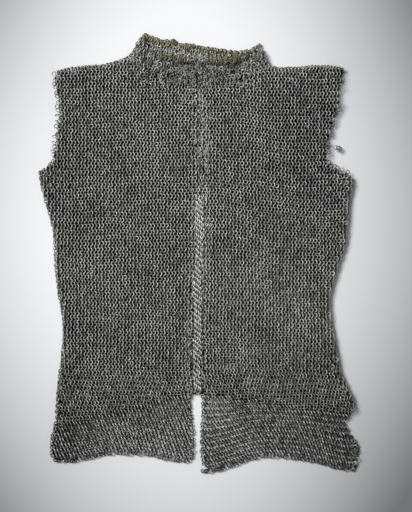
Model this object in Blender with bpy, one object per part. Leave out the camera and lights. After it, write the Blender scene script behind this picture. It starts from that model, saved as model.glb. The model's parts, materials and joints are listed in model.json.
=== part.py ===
"""A sleeveless mail shirt, opened down the front and laid flat on its back.

The mail lies in two layers, one over the other, that turn into each other in folds along
the sides, the shoulders and the collar. The back layer lies on the ground. The front layer
is split down the middle: its two lapels fold outward, and its two tails, which reach past
the hem of the back, fold up. Metres, +Z up, collar toward +Y, wearer's back underneath.
"""

import math

import bmesh
import bpy
from mathutils import Vector
from mathutils.geometry import delaunay_2d_cdt

# Driving sizes

SHIRT_WIDTH = 0.580
SHIRT_LENGTH = 0.796
RING_WIDTH = 0.0088
LAYER_GAP = 0.0055

# Shares of the ring's width: its wire, the steps along a row and between rows, and how thick
# the mail lies

WIRE_share = 0.148
RING_PITCH_share = 0.727
ROW_PITCH_share = 0.602
MAIL_THICKNESS_share = 0.625

# Relief of the front layer: every second row of rings lies lower than its neighbours

ROW_DIP_share = 0.27
ROW_MARGIN_share = 0.7
ROW_PROBE = 0.004
ROW_SKIP = 11

# Course of the rows of rings: where they draw together, how far they sag, and where they
# turn to follow the hems of the tails

WAIST_GATHER = 0.13
WAIST_TOP = -0.020
WAIST_RUN = 0.100
COLLAR_GATHER = 0.30
COLLAR_FOOT = 0.280
COLLAR_RUN = 0.030
RIGHT_SAG = 0.019
RIGHT_SAG_LEVEL = 0.100
RIGHT_SAG_SPREAD = 0.170
RIGHT_SAG_START = 0.020
RIGHT_SAG_RUN = 0.180
LEFT_SAG = 0.0087
LEFT_SAG_LEVEL = -0.120
LEFT_SAG_SPREAD = 0.100
LEFT_SAG_START = -0.280
LEFT_SAG_RUN = 0.260
HEM_LEVEL_share = 0.030
HEM_TURN_TOP = -0.235
HEM_TURN_RUN = 0.125

# Seams and hinge lines

SEAM_GAP = 0.0003
HINGE_RISE = 0.0030
SWING_CLEARANCE = 0.0004

# Creases of the front layer

RIPPLE_HEIGHT = 0.0015
RIPPLE_SPACING = 0.120
RIPPLE_FADE = 0.035

# Tails, from the hinge line down to the ground

TAIL_DROP_START = 0.019
TAIL_DROP_RUN = 0.017

# Turned-under edge of the left tail

TUCK_WIDTH = 0.034
TUCK_GAP = 0.0004
TUCK_RAMP = 0.016

# Edge rings, each leaning against the next row

RING_LEAN = math.radians(35)
EDGE_GAP = 0.0003

# Fineness of the surfaces

OUTLINE_STEP = 0.022
DRAPE_STEP = 0.036
FOLD_STEPS = 6
RING_SIDES = 8
WIRE_SIDES = 3

# The middle of the shirt as it lies, from edge to edge each way

ORIGIN_shares = (0.0, 0.4985)

# Outlines, counterclockwise round the shirt. Each point is a share of the width right of the
# middle and a share of the length above the hem.

LEFT_SIDE_shares = [
    (-0.497, 0.690), (-0.491, 0.658), (-0.472, 0.606), (-0.453, 0.552), (-0.447, 0.484),
    (-0.438, 0.416), (-0.425, 0.362), (-0.422, 0.314), (-0.429, 0.253), (-0.438, 0.206),
    (-0.444, 0.158), (-0.444, 0.118),
]
BACK_HEM_shares = [
    (-0.438, 0.103), (-0.398, 0.104), (-0.335, 0.115), (-0.211, 0.138), (-0.102, 0.161),
    (-0.016, 0.174), (0.006, 0.174), (0.130, 0.163), (0.286, 0.147), (0.379, 0.133),
    (0.457, 0.123), (0.484, 0.137),
]
RIGHT_SIDE_shares = [
    (0.494, 0.147), (0.484, 0.170), (0.463, 0.204), (0.444, 0.235), (0.432, 0.283),
    (0.416, 0.346), (0.410, 0.396), (0.419, 0.430), (0.441, 0.484), (0.460, 0.525),
    (0.466, 0.566), (0.472, 0.620), (0.484, 0.665), (0.478, 0.683),
]
RIGHT_ARMHOLE_shares = [
    (0.410, 0.706), (0.407, 0.742), (0.416, 0.776), (0.429, 0.810), (0.441, 0.839),
    (0.444, 0.867), (0.453, 0.900),
]
RIGHT_SHOULDER_shares = [(0.457, 0.921), (0.416, 0.929), (0.342, 0.928), (0.286, 0.925), (0.242, 0.925)]
RIGHT_COLLAR_shares = [(0.220, 0.932), (0.213, 0.946), (0.205, 0.962), (0.194, 0.973)]
BACK_COLLAR_TOP_shares = [
    (0.174, 0.965), (0.143, 0.958), (0.068, 0.962), (0.019, 0.968), (-0.025, 0.973),
    (-0.062, 0.977), (-0.081, 0.984), (-0.118, 0.986), (-0.149, 0.991),
]
LEFT_COLLAR_shares = [(-0.171, 0.995), (-0.185, 0.986), (-0.194, 0.975), (-0.203, 0.962), (-0.220, 0.949)]
LEFT_SHOULDER_shares = [(-0.248, 0.941), (-0.292, 0.932), (-0.354, 0.928), (-0.410, 0.922), (-0.447, 0.914)]
LEFT_ARMHOLE_shares = [
    (-0.450, 0.893), (-0.444, 0.871), (-0.438, 0.821), (-0.444, 0.776), (-0.453, 0.735),
    (-0.460, 0.710),
]
NECK_SEAM_shares = [(0.130, 0.912), (0.000, 0.905), (-0.102, 0.914)]

# Front edges from the collar down, wing tops right to left, and where the wings end

LEFT_LAPEL_EDGE_shares = [
    (-0.003, 0.880), (-0.003, 0.509), (-0.012, 0.452), (-0.016, 0.396), (-0.016, 0.335),
]
RIGHT_LAPEL_EDGE_shares = [
    (-0.003, 0.880), (-0.003, 0.509), (0.006, 0.452), (0.008, 0.396), (0.008, 0.335),
]
LEFT_FRONT_EDGE_share = -0.018
RIGHT_FRONT_EDGE_share = 0.008
MIDDLE_share = -0.003
LEFT_WING_TOP_shares = [(-0.006, 0.937), (-0.071, 0.939)]
RIGHT_WING_TOP_shares = [(0.130, 0.938), (0.084, 0.934), (0.000, 0.937)]
LEFT_WING_END_share = 0.947
RIGHT_WING_END_share = 0.945
WING_SETBACK_share = 0.68
LEFT_WING_HEEL_share = 0.966
RIGHT_WING_HEEL_share = 0.956
LEFT_STRAP_TOP_shares = (-0.159, 0.981)
WING_FOOT_share = 0.880

# Tails, from the outer corner round the hem for the left and from the slit for the right

LEFT_TUCK_shares = [(-0.460, 0.080), (-0.461, 0.055), (-0.458, 0.037)]
LEFT_TAIL_OUTER_shares = [(-0.454, 0.102), (-0.459, 0.084)]
LEFT_TAIL_HEM_shares = [
    (-0.446, 0.027), (-0.398, 0.027), (-0.335, 0.035), (-0.273, 0.044), (-0.211, 0.043),
    (-0.149, 0.042), (-0.102, 0.032), (-0.056, 0.026), (-0.016, 0.036),
]
LEFT_TAIL_SLIT_shares = [(-0.016, 0.068), (-0.019, 0.147)]
RIGHT_TAIL_SLIT_shares = [(0.012, 0.158), (0.009, 0.102), (0.008, 0.045)]
RIGHT_TAIL_HEM_shares = [
    (0.016, 0.007), (0.034, 0.002), (0.075, 0.009), (0.118, 0.019), (0.155, 0.029),
    (0.208, 0.037), (0.270, 0.036), (0.332, 0.031), (0.394, 0.019), (0.447, 0.010),
]
RIGHT_TAIL_OUTER_shares = [(0.492, 0.008), (0.497, 0.032), (0.498, 0.063), (0.490, 0.084)]
RIGHT_TAIL_NOTCH_shares = [(0.474, 0.104), (0.459, 0.120)]
LEFT_TAIL_CORNER_shares = (-0.447, 0.111)

# Ends of the hinge lines, each drawn with the moving mail on its left-hand side

LEFT_LAPEL_HINGE_shares = ((-0.152, 0.989), (-0.031, 0.328))
RIGHT_LAPEL_HINGE_shares = ((0.025, 0.328), (0.174, 0.968))
LEFT_TAIL_HINGE_shares = ((-0.020, 0.190), (-0.430, 0.116))
RIGHT_TAIL_HINGE_shares = ((0.457, 0.138), (0.008, 0.192))

# Sizes that follow from the ring

WIRE_WIDTH = RING_WIDTH * WIRE_share
RING_PITCH = RING_WIDTH * RING_PITCH_share
RING_ROW_PITCH = RING_WIDTH * ROW_PITCH_share
MAIL_THICKNESS = RING_WIDTH * MAIL_THICKNESS_share
EDGE_ROWS_WIDTH = RING_WIDTH + RING_ROW_PITCH + EDGE_GAP
WING_SETBACK = EDGE_ROWS_WIDTH * WING_SETBACK_share
ROW_DIP = RING_WIDTH * ROW_DIP_share
ROW_MARGIN = RING_WIDTH * ROW_MARGIN_share
RING_HALF_HEIGHT = (math.sin(RING_LEAN) * (RING_WIDTH - WIRE_WIDTH) + WIRE_WIDTH) / 2

# Heights of the two layers

FRONT_BASE = MAIL_THICKNESS + LAYER_GAP
FRONT_TOP = FRONT_BASE + MAIL_THICKNESS
FOLD_RADIUS = FRONT_TOP / 2
TUCK_RADIUS = MAIL_THICKNESS + TUCK_GAP / 2
HINGE_HEIGHT = FRONT_TOP + HINGE_RISE
HALF_SEAM = SEAM_GAP / 2


# Plan geometry


def on_shirt(share):
    """The plan place of a point given as shares of the width and length."""
    across = share[0] - ORIGIN_shares[0]
    up = share[1] - ORIGIN_shares[1]
    return Vector((across * SHIRT_WIDTH, up * SHIRT_LENGTH))


def turned_left(direction):
    return Vector((-direction.y, direction.x))


def smooth_curve(corners):
    """Points about one step apart on a smooth curve through the corners."""
    points = []
    for i in range(len(corners) - 1):
        before = corners[max(i - 1, 0)]
        start = corners[i]
        end = corners[i + 1]
        after = corners[min(i + 2, len(corners) - 1)]
        pieces = max(1, round((end - start).length / OUTLINE_STEP))
        for j in range(pieces):
            t = j / pieces
            bend = before * 2 - start * 5 + end * 4 - after
            twist = start * 3 - before - end * 3 + after
            points.append((start * 2 + (end - before) * t + bend * t**2 + twist * t**3) / 2)
    return points + [corners[-1]]


def smooth_path(shares):
    """A smooth curve through an outline's points."""
    return smooth_curve([on_shirt(share) for share in shares])


def inward_normals(path):
    """For each point of a counterclockwise path, the unit vector into the shirt."""
    normals = []
    for i in range(len(path)):
        along = path[min(i + 1, len(path) - 1)] - path[max(i - 1, 0)]
        normals.append(turned_left(along.normalized()))
    return normals


def moved_in(path, distance):
    return [point + normal * distance for point, normal in zip(path, inward_normals(path))]


def distance_to_path(point, path):
    """The plan distance from a point to a polyline."""
    least = math.inf
    for a, b in zip(path, path[1:]):
        run = b - a
        t = min(max((point - a).dot(run) / run.length_squared, 0), 1)
        least = min(least, (a + run * t - point).length)
    return least


def is_inside(point, outline):
    crossings = 0
    for a, b in zip(outline, outline[1:] + outline[:1]):
        if (a.y > point.y) != (b.y > point.y):
            crossings += point.x < a.x + (point.y - a.y) / (b.y - a.y) * (b.x - a.x)
    return crossings % 2 == 1


def eased(value, start, run):
    """0 before the start, 1 after the run, and a smooth rise between."""
    t = min(max((value - start) / run, 0), 1)
    return t * t * (3 - 2 * t)


def eased_sum(value, start, run):
    """How much eased adds up to on the way to a value."""
    t = min(max((value - start) / run, 0), 1)
    return run * (t**3 - t**4 / 2) + max(value - start - run, 0)


class HingeLine:
    """A straight fold line in plan, with the moving mail on its left-hand side."""

    def __init__(self, end_shares):
        self.start = on_shirt(end_shares[0])
        self.end = on_shirt(end_shares[1])
        self.along = (self.end - self.start).normalized()
        self.inward = turned_left(self.along)

    def reach(self, point):
        """How far a point lies from the line, on the moving side."""
        return (point - self.start).dot(self.inward)

    def beside(self, point, offset):
        """The point's foot on the line, moved off the line by the offset."""
        return point + self.inward * (offset - self.reach(point))

    def at_level(self, level, offset):
        """The point of the line, moved off by the offset, that lies at a level of Y."""
        base = self.start + self.inward * offset
        return base + self.along * ((level - base.y) / self.along.y)

    def parallel(self, offset, overrun):
        """The line moved off by the offset, and longer by the overrun at both ends."""
        shift = self.inward * offset
        return [self.start + shift - self.along * overrun, self.end + shift + self.along * overrun]

    def carrier(self, name):
        """An empty on the hinge's axis, which carries what folds about it."""
        middle = (self.start + self.end) / 2
        return carrier_at(name, (middle.x, middle.y, HINGE_HEIGHT))


# Scene, materials and objects


def clear_scene():
    for thing in list(bpy.data.objects):
        bpy.data.objects.remove(thing, do_unlink=True)


def mail_material(name, color, roughness):
    material = bpy.data.materials.new(name)
    material.use_nodes = True
    shader = material.node_tree.nodes["Principled BSDF"]
    shader.inputs["Base Color"].default_value = (*color, 1)
    shader.inputs["Metallic"].default_value = 1
    shader.inputs["Roughness"].default_value = roughness
    material.diffuse_color = (*color, 1)
    return material


def carrier_at(name, place):
    empty = bpy.data.objects.new(name, None)
    empty.location = place
    bpy.context.scene.collection.objects.link(empty)
    return empty


def place_object(name, builder, material, carrier):
    """Turns a filled bmesh in shirt space into an object under its carrier."""
    bmesh.ops.recalc_face_normals(builder, faces=builder.faces)
    bmesh.ops.translate(builder, verts=builder.verts, vec=-carrier.location)
    mesh = bpy.data.meshes.new(name)
    builder.to_mesh(mesh)
    builder.free()
    mesh.materials.append(material)
    thing = bpy.data.objects.new(name, mesh)
    bpy.context.scene.collection.objects.link(thing)
    thing.parent = carrier
    return thing


# Rows of rings


def hem_height(x):
    """The height of the tails' hems at a place across the shirt."""
    hem = LEFT_HEM if x < LEFT_HEM[-1].x else RIGHT_HEM
    for a, b in zip(hem, hem[1:]):
        if x <= b.x:
            break
    return a.y + (b.y - a.y) * min(max((x - a.x) / (b.x - a.x), 0), 1)


def row_place(point):
    """How far up the rows of rings a point lies, in metres of level mail."""
    x, y = point
    right_sag = RIGHT_SAG * eased(x, RIGHT_SAG_START, RIGHT_SAG_RUN)
    right_sag *= math.exp(-(((y - RIGHT_SAG_LEVEL) / RIGHT_SAG_SPREAD) ** 2))
    left_sag = LEFT_SAG * eased(x, LEFT_SAG_START, LEFT_SAG_RUN)
    left_sag *= math.exp(-(((y - LEFT_SAG_LEVEL) / LEFT_SAG_SPREAD) ** 2))
    hem_turn = on_shirt((0, HEM_LEVEL_share)).y - hem_height(x)
    hem_turn *= eased(HEM_TURN_TOP - y, 0, HEM_TURN_RUN)
    level = y + right_sag + left_sag + hem_turn
    at_waist = WAIST_GATHER * eased_sum(WAIST_TOP - level, 0, WAIST_RUN)
    return level - at_waist + COLLAR_GATHER * eased_sum(level - COLLAR_FOOT, 0, COLLAR_RUN)


def row_point(x, row):
    """The point of a row of rings at a place across the shirt."""
    target = row * RING_ROW_PITCH
    point = Vector((x, target))
    for _ in range(12):
        point.y -= row_place(point) - target
    return point


def row_stretches(outline, row):
    """Lines along a row of rings, where it lies inside the outline and clear of its edge."""
    rim = outline + outline[:1]
    west = min(p.x for p in outline)
    east = max(p.x for p in outline)
    stretches = [[]]
    for i in range(int((east - west) / ROW_PROBE)):
        point = row_point(west + ROW_PROBE * i, row)
        if is_inside(point, outline) and distance_to_path(point, rim) > ROW_MARGIN:
            stretches[-1].append((i, point))
        elif stretches[-1]:
            stretches.append([])
    lines = []
    for stretch in stretches:
        if len(stretch) > 2:
            between = [point for i, point in stretch[1:-1] if i % ROW_SKIP == 0]
            lines.append([stretch[0][1]] + between + [stretch[-1][1]])
    return lines


def rows_over(outline):
    """The rows of rings over a sheet, as lines with how far each lies below the crests."""
    places = [row_place(point) / RING_ROW_PITCH for point in outline]
    rows = range(math.ceil(min(places)), math.floor(max(places)) + 1)
    return [(line, ROW_DIP * (row % 2)) for row in rows for line in row_stretches(outline, row)]


# Sheets of mail


def drape_points(outline):
    """Points on an even grid inside the outline, clear of its edge."""
    low = Vector((min(p.x for p in outline), min(p.y for p in outline)))
    size = Vector((max(p.x for p in outline), max(p.y for p in outline))) - low
    across = max(1, round(size.x / DRAPE_STEP))
    up = max(1, round(size.y / DRAPE_STEP))
    grid = [low + Vector((size.x * i / across, size.y * j / up)) for i in range(across) for j in range(up)]
    rim = outline + outline[:1]
    return [p for p in grid if is_inside(p, outline) and distance_to_path(p, rim) > DRAPE_STEP / 2]


def filled(outline, inner, lines):
    """Plan points and triangles that fill an outline, with the lines among their edges."""
    points = list(outline) + list(inner)
    edges = []
    for line in lines:
        first = len(points)
        edges += [(first + i, first + i + 1) for i in range(len(line) - 1)]
        points += line
    face = list(range(len(outline)))
    points, _, triangles, _, _, _ = delaunay_2d_cdt(points, edges, [face], 1, SEAM_GAP / 100)
    return points, triangles


def mail_sheet(name, outline, height_at, material, carrier, creases=(), grid=True, rows=False):
    """A sheet of mail with the given outline, whose underside height follows height_at."""
    builder = bmesh.new()
    points, triangles = filled(outline, drape_points(outline) if grid else [], creases)
    used = sorted({i for triangle in triangles for i in triangle})
    low = {i: builder.verts.new((*points[i], height_at(points[i]))) for i in used}
    for triangle in triangles:
        builder.faces.new([low[i] for i in reversed(triangle)])
    dips = [0] * len(points)
    if rows:
        lines = rows_over(outline)
        dips = [0] * len(outline) + [dip for line, dip in lines for _ in line]
        points, triangles = filled(outline, [], [line for line, _ in lines])
        used = sorted({i for triangle in triangles for i in triangle})
    tops = {i: height_at(points[i]) + MAIL_THICKNESS - dips[i] for i in used}
    high = {i: builder.verts.new((*points[i], tops[i])) for i in used}
    for triangle in triangles:
        builder.faces.new([high[i] for i in triangle])
    above = {low[i]: high[i] for i in low if i in high}
    rims = [edge for edge in builder.edges if len(edge.link_faces) == 1 and edge.verts[0] in above]
    for edge in rims:
        a, b = edge.verts
        builder.faces.new([a, b, above[b], above[a]])
    return place_object(name, builder, material, carrier)


def fold_section(radius, inner_radius, under_reach):
    """Inward distance and height round a turned edge, which is open toward the shirt."""
    angles = [math.pi * (i / FOLD_STEPS - 0.5) for i in range(FOLD_STEPS + 1)]
    outer = [(radius - radius * math.cos(a), radius + radius * math.sin(a)) for a in angles]
    inner = [(radius - inner_radius * math.cos(a), radius - inner_radius * math.sin(a)) for a in angles]
    if not under_reach:
        return outer + inner
    return [(under_reach, 0)] + outer + inner + [(under_reach, radius - inner_radius)]


def mail_fold(name, path, normals, material, carrier, radius=FOLD_RADIUS, under_reach=0):
    """Mail that turns over along a plan path, from the ground up to the layer above."""
    section = fold_section(radius, radius - MAIL_THICKNESS, under_reach)
    builder = bmesh.new()
    loops = []
    for point, normal in zip(path, normals):
        places = [(point + normal * distance, height) for distance, height in section]
        loops.append([builder.verts.new((*place, height)) for place, height in places])
    for loop, following in zip(loops, loops[1:]):
        for i in range(len(loop)):
            j = (i + 1) % len(loop)
            builder.faces.new([loop[i], loop[j], following[j], following[i]])
    builder.faces.new(loops[0])
    builder.faces.new(list(reversed(loops[-1])))
    return place_object(name, builder, material, carrier)


# Linked rings along an edge


def add_ring(builder, centre, along, lean):
    """One round ring of wire that leans about the line square to the edge."""
    radius = (RING_WIDTH - WIRE_WIDTH) / 2
    across = Vector((*turned_left(along), 0))
    leaning = Vector((*along, 0)) * math.cos(lean) + Vector((0, 0, math.sin(lean)))
    square = leaning.cross(across)
    loops = []
    for i in range(RING_SIDES):
        angle = math.tau * (i + 0.5) / RING_SIDES
        out = leaning * math.cos(angle) + across * math.sin(angle)
        turns = [math.tau * (j + 0.5) / WIRE_SIDES for j in range(WIRE_SIDES)]
        wire = [(out * math.cos(turn) + square * math.sin(turn)) * WIRE_WIDTH / 2 for turn in turns]
        loops.append([builder.verts.new(centre + out * radius + offset) for offset in wire])
    for loop, following in zip(loops, loops[1:] + loops[:1]):
        for j in range(WIRE_SIDES):
            k = (j + 1) % WIRE_SIDES
            builder.faces.new([loop[j], loop[k], following[k], following[j]])


def place_along(path, distance):
    """The place and direction at a distance along a polyline."""
    for a, b in zip(path, path[1:]):
        run = (b - a).length
        if distance <= run:
            break
        distance -= run
    direction = (b - a).normalized()
    return a + direction * distance, direction


def linked_rings(name, path, height, material, carrier):
    """Two linked rows of rings, the outer one just inside the path."""
    centre_line = moved_in(path, RING_WIDTH / 2)
    length = sum((b - a).length for a, b in zip(centre_line, centre_line[1:]))
    count = int((length - RING_WIDTH) / RING_PITCH) + 1
    start = (length - RING_PITCH * (count - 1)) / 2
    outer_places = [place_along(centre_line, start + RING_PITCH * i) for i in range(count)]
    outer_builder = bmesh.new()
    for place, along in outer_places:
        add_ring(outer_builder, Vector((*place, height)), along, RING_LEAN)
    inner_builder = bmesh.new()
    for (a, _), (b, _) in zip(outer_places, outer_places[1:]):
        along = (b - a).normalized()
        place = (a + b) / 2 + turned_left(along) * RING_ROW_PITCH
        add_ring(inner_builder, Vector((*place, height)), along, -RING_LEAN)
    outer = place_object(name, outer_builder, material, carrier)
    inner = place_object(name + "_inner_row", inner_builder, material, carrier)
    inner.hide_render = True
    inner.display_type = "WIRE"
    join = outer.modifiers.new("linked", "BOOLEAN")
    join.operation = "UNION"
    join.object = inner
    return outer


# Paths of the turned edges and the front

LEFT_SIDE = smooth_path(LEFT_SIDE_shares)
RIGHT_SIDE = smooth_path(RIGHT_SIDE_shares)
RIGHT_NECK = smooth_path(RIGHT_SHOULDER_shares + RIGHT_COLLAR_shares)
LEFT_NECK = smooth_path(LEFT_COLLAR_shares + LEFT_SHOULDER_shares)
RIGHT_SPLIT = RIGHT_NECK.index(on_shirt(RIGHT_COLLAR_shares[0]))
LEFT_SPLIT = LEFT_NECK.index(on_shirt(LEFT_COLLAR_shares[-1]))
LEFT_SIDE_IN = moved_in(LEFT_SIDE, FOLD_RADIUS + SEAM_GAP)
RIGHT_SIDE_IN = moved_in(RIGHT_SIDE, FOLD_RADIUS + SEAM_GAP)
RIGHT_NECK_IN = moved_in(RIGHT_NECK, FOLD_RADIUS + SEAM_GAP)
LEFT_NECK_IN = moved_in(LEFT_NECK, FOLD_RADIUS + SEAM_GAP)
LEFT_HEM = smooth_path(LEFT_TAIL_HEM_shares)
RIGHT_HEM = smooth_path(RIGHT_TAIL_HEM_shares)
LEFT_ARMHOLE = smooth_path(LEFT_ARMHOLE_shares)
RIGHT_ARMHOLE = smooth_path(RIGHT_ARMHOLE_shares)
LEFT_LAPEL_HINGE = HingeLine(LEFT_LAPEL_HINGE_shares)
RIGHT_LAPEL_HINGE = HingeLine(RIGHT_LAPEL_HINGE_shares)
LEFT_TAIL_HINGE = HingeLine(LEFT_TAIL_HINGE_shares)
RIGHT_TAIL_HINGE = HingeLine(RIGHT_TAIL_HINGE_shares)
MIDDLE = on_shirt((MIDDLE_share, 0)).x
WING_FOOT = on_shirt((0, WING_FOOT_share)).y
LEFT_WING_END = on_shirt((0, LEFT_WING_END_share)).y
RIGHT_WING_END = on_shirt((0, RIGHT_WING_END_share)).y
LEFT_WING_HEEL = on_shirt((0, LEFT_WING_HEEL_share)).y
RIGHT_WING_HEEL = on_shirt((0, RIGHT_WING_HEEL_share)).y


# The fixed body of the shirt


def turned_edge(name, path, first, last, start_cut, end_cut, material, carrier):
    """A stretch of a path as a fold. Its ends are drawn back by the cuts."""
    normals = inward_normals(path)[first:last]
    stretch = path[first:last]
    start = stretch[0] + (stretch[1] - stretch[0]).normalized() * start_cut
    end = stretch[-1] + (stretch[-2] - stretch[-1]).normalized() * end_cut
    return mail_fold(name, [start] + stretch[1:-1] + [end], normals, material, carrier)


def add_turned_edges(material, carrier):
    turned_edge("left_side_fold", LEFT_SIDE, 0, None, 0, 0, material, carrier)
    turned_edge("right_side_fold", RIGHT_SIDE, 0, None, 0, 0, material, carrier)
    turned_edge("right_shoulder_fold", RIGHT_NECK, 0, RIGHT_SPLIT + 1, 0, HALF_SEAM, material, carrier)
    turned_edge("right_collar_fold", RIGHT_NECK, RIGHT_SPLIT, None, HALF_SEAM, 0, material, carrier)
    turned_edge("left_collar_fold", LEFT_NECK, 0, LEFT_SPLIT + 1, 0, HALF_SEAM, material, carrier)
    turned_edge("left_shoulder_fold", LEFT_NECK, LEFT_SPLIT, None, HALF_SEAM, 0, material, carrier)


def add_back_layer(material, carrier):
    """The back panel and collar, which lie flat on the ground."""
    neck_seam = smooth_path(NECK_SEAM_shares)
    panel = LEFT_SIDE_IN + smooth_path(BACK_HEM_shares) + RIGHT_SIDE_IN + RIGHT_ARMHOLE
    panel += RIGHT_NECK_IN[: RIGHT_SPLIT + 1] + neck_seam + LEFT_NECK_IN[LEFT_SPLIT:] + LEFT_ARMHOLE
    mail_sheet("back_panel", panel, lambda point: 0, material, carrier, grid=False)
    up = Vector((0, SEAM_GAP))
    left_foot = LEFT_NECK_IN[LEFT_SPLIT] + up
    right_foot = RIGHT_NECK_IN[RIGHT_SPLIT] + up
    collar = [left_foot] + [point + up for point in reversed(neck_seam)] + [right_foot]
    collar += RIGHT_NECK_IN[RIGHT_SPLIT + 1 :]
    collar += moved_in(smooth_path(BACK_COLLAR_TOP_shares), EDGE_ROWS_WIDTH) + LEFT_NECK_IN[:LEFT_SPLIT]
    mail_sheet("back_collar", collar, lambda point: 0, material, carrier, grid=False)


def ripple_over(outline):
    """Height of the front layer's underside, with creases that fade out at the outline."""
    rim = outline + outline[:1]

    def height_at(point):
        fade = eased(distance_to_path(point, rim), 0, RIPPLE_FADE)
        lengthwise = math.sin(math.tau * (point.y + point.x / 3) / RIPPLE_SPACING)
        crosswise = math.cos(math.pi * (point.x - point.y / 4) / RIPPLE_SPACING)
        return FRONT_BASE + RIPPLE_HEIGHT * fade * (1 + lengthwise * crosswise) / 2

    return height_at


def lapel_foot(hinge, low_end, edge_x, along_offset, hinge_offset):
    """The lower edge of a lapel, square to its hinge: its points on the hinge and on the front edge."""
    upward = (hinge.start + hinge.end - low_end * 2).normalized()
    at_hinge = low_end + upward * along_offset + hinge.inward * hinge_offset
    return at_hinge, at_hinge + hinge.inward * ((edge_x - at_hinge.x) / hinge.inward.x)


def add_front_left(material, carrier):
    """The fixed front left, from the side fold to the lapel's hinge and down to the tail's."""
    edge_x = on_shirt((LEFT_FRONT_EDGE_share, 0)).x
    foot, foot_front = lapel_foot(LEFT_LAPEL_HINGE, LEFT_LAPEL_HINGE.end, edge_x, -HALF_SEAM, -HALF_SEAM)
    outline = LEFT_SIDE_IN[:-1]
    outline.append(LEFT_TAIL_HINGE.beside(LEFT_SIDE_IN[-1], -HALF_SEAM))
    outline.append(LEFT_TAIL_HINGE.beside(Vector((edge_x, LEFT_TAIL_HINGE.start.y)), -HALF_SEAM))
    outline += [foot_front, foot]
    outline.append(LEFT_LAPEL_HINGE.at_level(WING_FOOT, -HALF_SEAM))
    outline.append(LEFT_LAPEL_HINGE.at_level(LEFT_WING_HEEL, -HALF_SEAM))
    outline.append(on_shirt(LEFT_STRAP_TOP_shares))
    outline += LEFT_NECK_IN + LEFT_ARMHOLE
    mail_sheet("front_left_panel", outline, ripple_over(outline), material, carrier, rows=True)


def add_front_right(material, carrier):
    """The fixed front right, from the side fold to the lapel's hinge and down to the tail's."""
    edge_x = on_shirt((RIGHT_FRONT_EDGE_share, 0)).x
    foot, foot_front = lapel_foot(RIGHT_LAPEL_HINGE, RIGHT_LAPEL_HINGE.start, edge_x, -HALF_SEAM, -HALF_SEAM)
    outline = [RIGHT_TAIL_HINGE.beside(RIGHT_TAIL_HINGE.end, -HALF_SEAM)]
    outline.append(RIGHT_TAIL_HINGE.beside(RIGHT_TAIL_HINGE.start, -HALF_SEAM))
    outline += RIGHT_SIDE_IN + RIGHT_ARMHOLE + RIGHT_NECK_IN
    outline.append(RIGHT_LAPEL_HINGE.at_level(RIGHT_WING_HEEL, -HALF_SEAM))
    outline.append(RIGHT_LAPEL_HINGE.at_level(WING_FOOT, -HALF_SEAM))
    outline += [foot, foot_front]
    mail_sheet("front_right_panel", outline, ripple_over(outline), material, carrier, rows=True)


# The lapels, each with its half of the front collar


def swing_limited(edge, hinge):
    """The lapel's front edge, kept back where it would sweep past the middle as it turns."""
    lift = MAIL_THICKNESS + HINGE_RISE
    limited = []
    for point in edge:
        reach = hinge.reach(point)
        sweep = (math.hypot(reach, lift) - reach) * abs(hinge.inward.x) + SWING_CLEARANCE
        if hinge.inward.x > 0:
            limited.append(Vector((min(point.x, MIDDLE - sweep), point.y)))
        else:
            limited.append(Vector((max(point.x, MIDDLE + sweep), point.y)))
    return limited


def add_left_lapel(steel, brass):
    hinge = LEFT_LAPEL_HINGE
    carrier = hinge.carrier("left_lapel_hinge")
    edge = swing_limited(smooth_path(LEFT_LAPEL_EDGE_shares), hinge)
    foot, foot_front = lapel_foot(hinge, hinge.end, edge[-1].x, HALF_SEAM, HALF_SEAM)
    below_wing = Vector((0, -SEAM_GAP))
    panel = [foot, foot_front] + list(reversed(edge[1:-1]))
    panel += [edge[0] + below_wing, hinge.at_level(WING_FOOT - SEAM_GAP, HALF_SEAM)]
    mail_sheet("left_lapel_panel", panel, ripple_over(panel), steel, carrier, rows=True)
    corners = [on_shirt(share) for share in LEFT_WING_TOP_shares]
    top = smooth_curve(corners + [hinge.at_level(LEFT_WING_END, WING_SETBACK)])
    top_in = moved_in(top, EDGE_ROWS_WIDTH)
    past_end = (top[-1] - top[-2]).normalized() * EDGE_GAP
    wing = [hinge.at_level(WING_FOOT, HALF_SEAM), edge[0], Vector((edge[0].x, top_in[0].y))] + top_in[1:]
    wing += [top_in[-1] + past_end, top[-1] + past_end, hinge.at_level(LEFT_WING_HEEL, HALF_SEAM)]
    mail_sheet("left_collar_wing", wing, lambda point: FRONT_BASE, steel, carrier, grid=False)
    linked_rings("left_wing_brass_rings", top, FRONT_BASE + MAIL_THICKNESS / 2, brass, carrier)


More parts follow.
